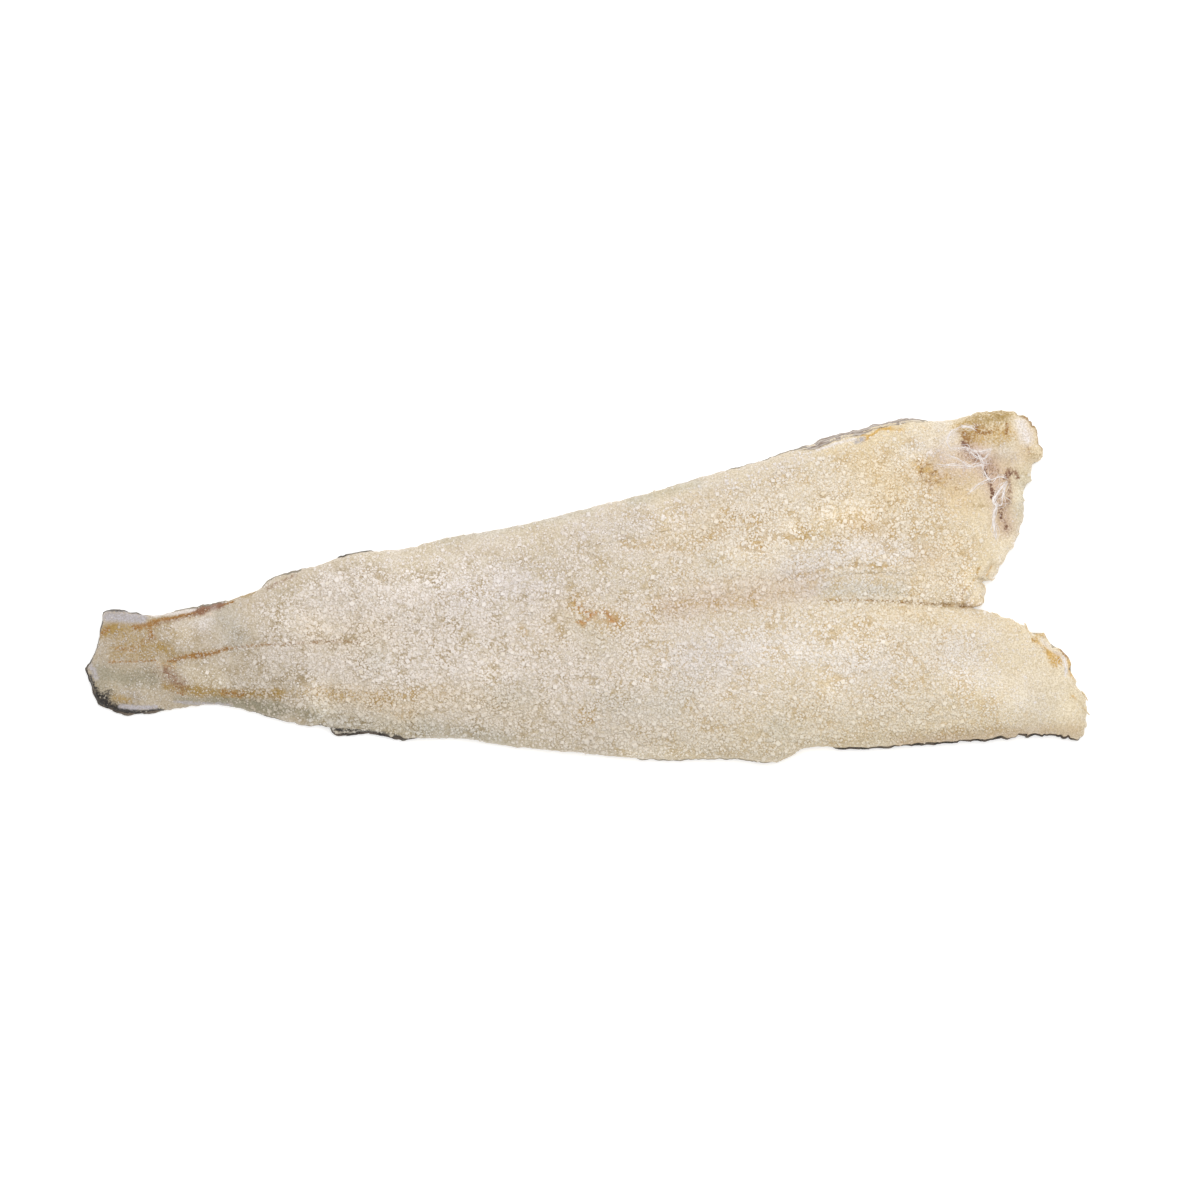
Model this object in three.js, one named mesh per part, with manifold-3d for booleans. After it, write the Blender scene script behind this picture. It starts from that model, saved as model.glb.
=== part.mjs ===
// Salted dried cod: a headless fish, split open from the belly with its backbone taken out,
// lying flat on its skin with the salted flesh up. It is one piece.
// Millimetres. +X runs from the tail to the head end, +Y towards the lobe that keeps its nape,
// +Z up. The origin is at the middle of the underside.
import * as THREE from "three";
import { LoftGeometry } from "three/addons/geometries/LoftGeometry.js";
import { mergeVertices } from "three/addons/utils/BufferGeometryUtils.js";
import Module from "manifold-3d";

// The outline, as [x, y] from the middle of the fish. Its length is 552 and its width 194.
const TAIL_TIP = [-275.9, -45.6];
const TAIL_NAPE_CORNER = [-266.8, -14.3];
const TAIL_PLAIN_CORNER = [-269.5, -64.6];
const NAPE_CORNER = [239.3, 95.2];
const PLAIN_CORNER = [273.4, -82.2];
const NOTCH = [212.9, -11.8];

// The free edge of the nape lobe, from the tail to the nape.
const NAPE_EDGE = [
  TAIL_NAPE_CORNER, [-261.8, -12.7], [-240.4, -16], [-222.8, -12.7], [-200.2, -8.5],
  [-178.2, 0.3], [-175.5, 3.6], [-157.9, 8.8], [-127.6, 18.2], [-99, 21.2],
  [-83, 25.6], [-34.7, 34.4], [-3.3, 42.4], [36.9, 52.5], [69.3, 62.2],
  [90.8, 67.7], [117.2, 76.5], [146.9, 85.5], [177.1, 91.9], [195.8, 91.3],
  [217.8, 96.3], [228.3, 96.8], NAPE_CORNER,
];
// The free edge of the plain lobe, from the tail to its far corner, with the small flap by the vent.
const PLAIN_EDGE = [
  TAIL_PLAIN_CORNER, [-256.3, -69.3], [-234.3, -68.2], [-205.7, -64.9], [-184.8, -69],
  [-158.4, -75.9], [-142.5, -77.6], [-138.6, -80.6], [-119.9, -80.3], [-101.2, -83.3],
  [-68.8, -83.9], [-46.2, -87.5], [-4.4, -91.6], [38, -95.2], [80.9, -94.6],
  [101.2, -96.8], [108.4, -95.4], [120.5, -88.8], [149.1, -88.8], [195.8, -85.5],
  [229.4, -83.1], [253, -81.1], [269, -83.6], PLAIN_CORNER,
];
// The seam where the backbone lay, from the tail's tip to the notch between the lobes.
const SEAM = [
  TAIL_TIP, [-263.5, -42.1], [-214, -38], [-184.8, -31.6], [-126.5, -30], [-86.4, -25],
  [-47.9, -19.5], [-3.9, -13.5], [40.2, -9.6], [84.2, -8], [117.2, -8.5], [155.1, -6.9],
  [190.3, -9.9], NOTCH,
];
// The cut ends, each from a lobe's free edge to the seam.
const NAPE_TAIL_END = [TAIL_NAPE_CORNER, [-269, -26.4], [-271.4, -36], TAIL_TIP];
const PLAIN_TAIL_END = [TAIL_PLAIN_CORNER, [-272.3, -56.9], TAIL_TIP];
const NAPE_HEAD_END = [
  NAPE_CORNER, [244.2, 91], [247.5, 85.5], [250.3, 72.3], [244.8, 67.4], [244.2, 57.5],
  [240.5, 56], [240.4, 46.5], [239.3, 36], [236.2, 25.6], [229.9, 14.8], [222.5, 4.6],
  [217.8, 3.2], [219.2, -1.9], [217.3, -8.5], NOTCH,
];
const PLAIN_HEAD_END = [
  PLAIN_CORNER, [275, -72], [274.9, -62], [270, -54.5], [266.6, -47], [265.4, -41.5],
  [263.2, -37], [260, -34], [257.2, -33.8], [253.8, -30], [252.4, -26.8], [249.4, -25.5],
  [245.5, -25.6], [243, -23.8], [241.9, -21.6], [236.5, -19.6], [224, -14.4], NOTCH,
];

// Thickness of the flesh as [share of the length from the tail, mm].
const NAPE_LOIN = [[0, 7], [0.15, 11], [0.35, 16], [0.6, 21], [0.8, 22], [0.93, 17], [1, 12]];
const PLAIN_LOIN = [[0, 7], [0.15, 11], [0.35, 18], [0.6, 25], [0.8, 27], [0.93, 22], [1, 15]];
const NAPE_FLANK = [[0, 5.5], [0.3, 7], [0.7, 9], [0.9, 10], [1, 9]];
const PLAIN_FLANK = [[0, 5.5], [0.3, 8], [0.7, 12], [0.9, 13], [1, 11]];
const SEAM_DEPTH = [[0, 0.6], [0.2, 0.7], [0.5, 0.9], [0.75, 1.4], [0.9, 2.2], [1, 6]];

const EDGE_TOP = 4.8; // of the flesh along the outline, above the surface that the fish lies on
const EDGE_UNDER = 1.6; // of the skin along the outline, which lifts off that surface
const RIM_RADIUS = 8; // how far in from the outline the flesh reaches its full thickness
const UNDERSIDE_RADIUS = 12; // how far in from the outline the skin lies flat
const LOIN_PLACE = 0.72; // of the loin's crest, from the free edge to the seam
const SEAM_HALF_WIDTH = 5;
const LEVEL_REACH = 16; // how far from the seam the two loins still have to reach one height there
const BED = { from: 0.5, to: 0.97, width: 14, depth: 1.5, brink: 8 }; // where the backbone lay
const WAVE = { size: 17, height: 0.7 }; // the dried flesh's slow unevenness

// Lumps and hollows of the cut nape, as a centre, a radius and a height.
const NAPE_RELIEF = [
  { at: [237, 83], radius: 12, height: 4.5 },
  { at: [217, 80], radius: 9, height: -2.5 },
  { at: [226, 66], radius: 7, height: -3.5 },
  { at: [236, 56], radius: 5, height: -2 },
  { at: [229, 40], radius: 6, height: -2.5 },
];
// The flake that hangs loose beside the notch lies lower than the flesh behind this line.
const FLAKE = { from: [205.2, -9.6], to: [222.2, 16], drop: 3.2, brink: 2.5 };

const LENGTH_STEPS = 78;
const NAPE_STEPS = 16;
const PLAIN_STEPS = 11;
const UNDERSIDE_STEPS = 6; // across each lobe

// The salt's largest crystals, cubes half sunk in the flesh.
const CRYSTALS = { tried: 240, least: 2.8, most: 4.6, sunk: 0.12, from: 0.14, to: 0.95, rim: 0.09 };
const SEED = 20;

const curveThrough = (points) => {
  const curve = new THREE.CatmullRomCurve3(
    points.map(([x, y]) => new THREE.Vector3(x, y, 0)), false, "centripetal",
  );
  curve.arcLengthDivisions = 1000;
  return (share) => curve.getPointAt(share);
};

// From 0 at one place to 1 at the other, whichever of them is the larger.
function smooth(from, to, x) {
  const t = THREE.MathUtils.clamp((x - from) / (to - from), 0, 1);
  return t * t * (3 - 2 * t);
}

// Even steps from 0 to 1, drawn together towards both ends.
const crowded = (t, pull) => t - (pull * Math.sin(2 * Math.PI * t)) / (2 * Math.PI);

// A value that passes smoothly through [place, value] stations.
function along(stations, place) {
  const next = stations.findIndex(([p]) => p >= place);
  if (next <= 0) return stations[0][1];
  const [p0, v0] = stations[next - 1];
  const [p1, v1] = stations[next];
  return THREE.MathUtils.lerp(v0, v1, smooth(p0, p1, place));
}

// A lobe's plan: u runs from the tail to the head end, s from the free edge to the seam.
function lobe(edgePoints, tailPoints, headPoints, loin, flank) {
  const [edge, seam] = [curveThrough(edgePoints), curveThrough(SEAM)];
  const [tail, head] = [curveThrough(tailPoints), curveThrough(headPoints)];
  const corners = [edge(0), edge(1), seam(0), seam(1)];
  const plan = (u, s) => {
    const weights = [(1 - u) * (1 - s), u * (1 - s), (1 - u) * s, u * s];
    const point = edge(u).multiplyScalar(1 - s).addScaledVector(seam(u), s);
    point.addScaledVector(tail(s), 1 - u).addScaledVector(head(s), u);
    corners.forEach((corner, i) => point.addScaledVector(corner, -weights[i]));
    return point;
  };
  return {
    plan, loin, flank,
    width: (u) => edge(u).distanceTo(seam(u)),
    length: edge(0).distanceTo(edge(1)),
  };
}

const napeLobe = lobe(NAPE_EDGE, NAPE_TAIL_END, NAPE_HEAD_END, NAPE_LOIN, NAPE_FLANK);
const plainLobe = lobe(PLAIN_EDGE, PLAIN_TAIL_END, PLAIN_HEAD_END, PLAIN_LOIN, PLAIN_FLANK);

// From 0 on the outline to 1 at radius inside it, round as a bolster.
function risen(side, u, s, radius) {
  const round = (distance) => Math.sqrt(1 - (1 - Math.min(distance / radius, 1)) ** 2);
  const { length } = side;
  return round(s * side.width(u)) * round(u * length) * round((1 - u) * length);
}

function napeRelief(x, y) {
  const lumps = NAPE_RELIEF.map(({ at, radius, height }) => {
    const away = Math.hypot(x - at[0], y - at[1]) / radius;
    return height * Math.exp(-away * away);
  });
  return lumps.reduce((sum, height) => sum + height, 0);
}

function flakeDrop(x, y) {
  const { from, to, drop, brink } = FLAKE;
  const [dx, dy] = [to[0] - from[0], to[1] - from[1]];
  const reach = Math.hypot(dx, dy);
  const beyond = ((x - from[0]) * dy - (y - from[1]) * dx) / reach;
  const beside = ((x - from[0]) * dx + (y - from[1]) * dy) / reach;
  return -drop * smooth(0, brink, beyond) * smooth(reach, reach - 2 * brink, beside);
}

function wave(x, y) {
  const { size, height } = WAVE;
  const lengthwise = Math.sin(x / size + 1.3 * Math.sin(y / size));
  return height * lengthwise * Math.cos((1.7 * y) / size - x / (2.3 * size));
}

// The flesh's height at u, s: thin at the flank, crowned at the loin, with the seam's groove.
function fleshHeight(side, u, s, { x, y }) {
  const fromSeam = (1 - s) * side.width(u);
  const level = (along(NAPE_LOIN, u) + along(PLAIN_LOIN, u)) / 2;
  const loin = THREE.MathUtils.lerp(along(side.loin, u), level, Math.exp(-((fromSeam / LEVEL_REACH) ** 2)));
  const flank = along(side.flank, u);
  const crown = s < LOIN_PLACE ? smooth(-0.25, LOIN_PLACE, s) : 1;
  const groove = along(SEAM_DEPTH, u) * Math.exp(-((fromSeam / SEAM_HALF_WIDTH) ** 2));
  const body = flank + (loin - flank) * crown - groove + wave(x, y);
  if (side !== napeLobe) return body;
  const inBed = smooth(BED.from, BED.from + 0.1, u) * smooth(BED.to, BED.to - 0.05, u);
  const acrossBed = smooth(0, SEAM_HALF_WIDTH, fromSeam) * smooth(BED.width + BED.brink, BED.width, fromSeam);
  return body - BED.depth * inBed * acrossBed + napeRelief(x, y) + flakeDrop(x, y);
}

function onTop(side, u, s) {
  const point = side.plan(u, s);
  const rise = risen(side, u, s, RIM_RADIUS);
  point.z = THREE.MathUtils.lerp(EDGE_TOP, fleshHeight(side, u, s, point), rise);
  return point;
}

function underneath(side, u, s) {
  const point = side.plan(u, s);
  point.z = EDGE_UNDER * (1 - risen(side, u, s, UNDERSIDE_RADIUS));
  return point;
}

// Places across both lobes, from the nape lobe's free edge over the seam to the plain lobe's.
function across(napeSteps, plainSteps) {
  const nape = Array.from({ length: napeSteps + 1 }, (_, i) => [napeLobe, crowded(i / napeSteps, 0.5)]);
  const plain = Array.from({ length: plainSteps + 1 }, (_, i) => [plainLobe, 1 - crowded(i / plainSteps, 0.5)]);
  return [...nape, ...plain.slice(1)];
}

// One closed section of the fish: over its flesh and back under its skin.
function section(u) {
  const top = across(NAPE_STEPS, PLAIN_STEPS).map(([side, s]) => onTop(side, u, s));
  const under = across(UNDERSIDE_STEPS, UNDERSIDE_STEPS).map(([side, s]) => underneath(side, u, s));
  return [...top, ...under.reverse()];
}

function fishBody() {
  const sections = [];
  for (let i = 0; i <= LENGTH_STEPS; i++) sections.push(section(crowded(i / LENGTH_STEPS, 0.4)));
  return new LoftGeometry(sections, { closed: true, capStart: true, capEnd: true });
}

// A repeatable random number from 0 to 1.
function randomFrom(seed) {
  let state = seed;
  return () => {
    state = (state * 1664525 + 1013904223) % 4294967296;
    return state / 4294967296;
  };
}

// Crystals spread evenly by a golden sequence, thinned where the lobe is narrow.
function saltCrystals() {
  const random = randomFrom(SEED);
  const widest = napeLobe.width(1) + plainLobe.width(1);
  const crystals = [];
  for (let i = 1; i <= CRYSTALS.tried; i++) {
    const u = THREE.MathUtils.lerp(CRYSTALS.from, CRYSTALS.to, (i * 0.7548777) % 1);
    const across = (i * 0.5698403) % 1;
    const [napeWidth, plainWidth] = [napeLobe.width(u), plainLobe.width(u)];
    const keep = random() < (napeWidth + plainWidth) / widest;
    const share = napeWidth / (napeWidth + plainWidth);
    const [side, s] = across < share ? [napeLobe, across / share] : [plainLobe, (1 - across) / (1 - share)];
    const size = THREE.MathUtils.lerp(CRYSTALS.least, CRYSTALS.most, random() ** 2);
    const turn = new THREE.Euler(...[0, 0, 0].map(() => random() * Math.PI));
    if (!keep || s < CRYSTALS.rim) continue;
    const crystal = new THREE.BoxGeometry(size, size, size * 0.8);
    const at = onTop(side, u, s);
    crystal.applyMatrix4(new THREE.Matrix4().makeRotationFromEuler(turn));
    crystal.translate(at.x, at.y, at.z + size * CRYSTALS.sunk);
    crystals.push(crystal);
  }
  return crystals;
}

const wasm = await Module();
wasm.setup();

function solidOf(geometry) {
  const bare = new THREE.BufferGeometry().copy(geometry).deleteAttribute("normal").deleteAttribute("uv");
  const merged = mergeVertices(bare, 1e-3);
  return new wasm.Manifold(new wasm.Mesh({
    numProp: 3,
    vertProperties: merged.attributes.position.array,
    triVerts: new Uint32Array(merged.index.array),
  }));
}

function geometryOf(solid) {
  const mesh = solid.getMesh();
  const geometry = new THREE.BufferGeometry();
  geometry.setAttribute("position", new THREE.BufferAttribute(mesh.vertProperties, 3));
  geometry.setIndex(new THREE.BufferAttribute(mesh.triVerts, 1));
  geometry.computeVertexNormals();
  return geometry;
}

function saltedFish() {
  const solid = saltCrystals().reduce((fish, crystal) => fish.add(solidOf(crystal)), solidOf(fishBody()));
  const geometry = geometryOf(solid);
  geometry.computeBoundingBox();
  const { min, max } = geometry.boundingBox;
  geometry.translate(-(min.x + max.x) / 2, -(min.y + max.y) / 2, -min.z);
  return geometry;
}

const flesh = new THREE.MeshStandardMaterial({ color: 0xd9ccb0, roughness: 0.75, metalness: 0 });
const saltCod = new THREE.Mesh(saltedFish(), flesh);
saltCod.name = "salt_cod";

const part = new THREE.Group();
part.add(saltCod);

export default part;
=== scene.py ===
import itertools
import math

import bmesh
import bpy
import numpy as np
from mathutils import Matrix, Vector
from mathutils.bvhtree import BVHTree


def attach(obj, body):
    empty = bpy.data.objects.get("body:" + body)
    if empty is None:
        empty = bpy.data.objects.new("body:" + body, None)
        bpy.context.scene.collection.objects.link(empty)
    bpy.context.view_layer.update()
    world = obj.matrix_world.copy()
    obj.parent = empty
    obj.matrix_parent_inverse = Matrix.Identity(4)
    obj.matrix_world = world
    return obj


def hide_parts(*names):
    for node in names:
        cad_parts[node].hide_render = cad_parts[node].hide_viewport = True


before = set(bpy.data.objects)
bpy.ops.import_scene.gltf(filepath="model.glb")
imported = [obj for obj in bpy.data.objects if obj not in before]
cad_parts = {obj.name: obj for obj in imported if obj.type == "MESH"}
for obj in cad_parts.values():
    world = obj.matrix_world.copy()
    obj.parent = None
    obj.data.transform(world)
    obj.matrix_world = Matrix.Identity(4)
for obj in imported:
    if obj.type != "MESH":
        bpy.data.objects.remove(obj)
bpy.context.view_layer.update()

MM = 0.001

# Outline
TAIL_TIP = (-275.9, -45.6)
TAIL_NAPE_CORNER = (-266.8, -14.3)
TAIL_PLAIN_CORNER = (-269.5, -64.6)
NAPE_CORNER = (239.3, 95.2)
PLAIN_CORNER = (273.4, -82.2)
NOTCH = (212.9, -11.8)

# Free edge of the nape lobe, from the tail to the nape.
NAPE_EDGE = [
    TAIL_NAPE_CORNER, (-261.8, -12.7), (-240.4, -16), (-222.8, -12.7), (-200.2, -8.5),
    (-178.2, 0.3), (-175.5, 3.6), (-157.9, 8.8), (-127.6, 18.2), (-99, 21.2),
    (-83, 25.6), (-34.7, 34.4), (-3.3, 42.4), (36.9, 52.5), (69.3, 62.2),
    (90.8, 67.7), (117.2, 76.5), (146.9, 85.5), (177.1, 91.9), (195.8, 91.3),
    (217.8, 96.3), (228.3, 96.8), NAPE_CORNER,
]
# Free edge of the plain lobe, from the tail to its far corner.
PLAIN_EDGE = [
    TAIL_PLAIN_CORNER, (-256.3, -69.3), (-234.3, -68.2), (-205.7, -64.9), (-184.8, -69),
    (-158.4, -75.9), (-142.5, -77.6), (-138.6, -80.6), (-119.9, -80.3), (-101.2, -83.3),
    (-68.8, -83.9), (-46.2, -87.5), (-4.4, -91.6), (38, -95.2), (80.9, -94.6),
    (101.2, -96.8), (108.4, -95.4), (120.5, -88.8), (149.1, -88.8), (195.8, -85.5),
    (229.4, -83.1), (253, -81.1), (269, -83.6), PLAIN_CORNER,
]
# The seam where the backbone lay.
SEAM = [
    TAIL_TIP, (-263.5, -42.1), (-214, -38), (-184.8, -31.6), (-126.5, -30), (-86.4, -25),
    (-47.9, -19.5), (-3.9, -13.5), (40.2, -9.6), (84.2, -8), (117.2, -8.5), (155.1, -6.9),
    (190.3, -9.9), NOTCH,
]
NAPE_TAIL_END = [TAIL_NAPE_CORNER, (-269, -26.4), (-271.4, -36), TAIL_TIP]
PLAIN_TAIL_END = [TAIL_PLAIN_CORNER, (-272.3, -56.9), TAIL_TIP]
NAPE_HEAD_END = [
    NAPE_CORNER, (244.2, 91), (247.5, 85.5), (250.3, 72.3), (244.8, 67.4), (244.2, 57.5),
    (240.5, 56), (240.4, 46.5), (239.3, 36), (236.2, 25.6), (229.9, 14.8), (222.5, 4.6),
    (217.8, 3.2), (219.2, -1.9), (217.3, -8.5), NOTCH,
]
PLAIN_HEAD_END = [
    PLAIN_CORNER, (275, -72), (274.9, -62), (270, -54.5), (266.6, -47), (265.4, -41.5),
    (263.2, -37), (260, -34), (257.2, -33.8), (253.8, -30), (252.4, -26.8), (249.4, -25.5),
    (245.5, -25.6), (243, -23.8), (241.9, -21.6), (236.5, -19.6), (224, -14.4), NOTCH,
]

# Body
# Thickness of the flesh as (share of the length from the tail, mm).
NAPE_LOIN = [(0, 7), (0.15, 11), (0.35, 16), (0.6, 21), (0.8, 22), (0.93, 17), (1, 12)]
PLAIN_LOIN = [(0, 7), (0.15, 11), (0.35, 18), (0.6, 25), (0.8, 27), (0.93, 22), (1, 15)]
NAPE_FLANK = [(0, 5.5), (0.3, 7), (0.7, 9), (0.9, 10), (1, 9)]
PLAIN_FLANK = [(0, 5.5), (0.3, 8), (0.7, 12), (0.9, 13), (1, 11)]
SEAM_DEPTH = [(0, 0.6), (0.2, 0.7), (0.5, 0.9), (0.75, 1), (0.9, 1.2), (1, 3)]

EDGE_TOP = 4.8
EDGE_UNDER = 1.6
RIM_RADIUS = 8
UNDERSIDE_RADIUS = 12
LOIN_PLACE = 0.72
SEAM_HALF_WIDTH = 5
LEVEL_REACH = 16
BED_FROM, BED_TO, BED_WIDTH, BED_DEPTH, BED_BRINK = 0.5, 0.97, 14, 1.5, 8
WAVE_SIZE, WAVE_HEIGHT = 17, 0.7
SKIRT_INSET, SKIN_INSET = 0.3, 0.9

# Lumps and hollows of the cut nape, as a centre, a radius and a height.
NAPE_RELIEF = [
    ((237, 83), 12, 4.5), ((217, 80), 9, -2.5), ((226, 66), 7, -3.5), ((236, 56), 5, -2),
    ((229, 40), 6, -2.5),
]
FLAKE_FROM, FLAKE_TO, FLAKE_DROP, FLAKE_BRINK = (205.2, -9.6), (222.2, 16), 3.2, 2.5

# Cracks and creases of the flesh, as a line, a half width and a depth.
FLAKE_CRACK = [(215.6, 10.7), (214.3, 9.8), (213.6, 5.1), (210.3, 1.4), (206.6, -2.3),
               (205.2, -5.2), (205.9, -8.9), (206.3, -11.1)]
FLAKE_SLIT = [(222.8, 12), (219.1, 5.8)]
SEAM_CRACK = [(100, -8.8), (139.2, -7.7), (172.2, -8.5), (192.7, -9.6), (212.5, -11.4)]
# The stained parts of the seam between the crack's ends.
SEAM_DASHES = [
    [(131, -7.8), (139, -7.6)], [(143, -7.6), (149, -7.5)], [(152.5, -7.6), (159, -7.7)],
    [(161.5, -7.9), (168, -8.2)], [(171, -8.6), (177.5, -8.9)], [(182, -9.2), (190, -9.7)],
    [(194, -9.8), (200, -10.4)], [(204, -10.8), (212, -11.4)],
]
BED_CREASE = [(62.2, -7.4), (78.7, -4.1), (109.5, 3), (134, 10), (146, 12), (164, 11)]
NAPE_CRESCENT = [(205, 41), (209, 43.7), (213.4, 45.1), (219.8, 45.9)]
CREASES = [
    (FLAKE_CRACK, 0.8, 0.6), (FLAKE_SLIT, 0.7, 0.9), (SEAM_CRACK, 0.8, 0.3), (BED_CREASE, 1.4, 0.4),
    (NAPE_CRESCENT, 1, 0.7),
]

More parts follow.
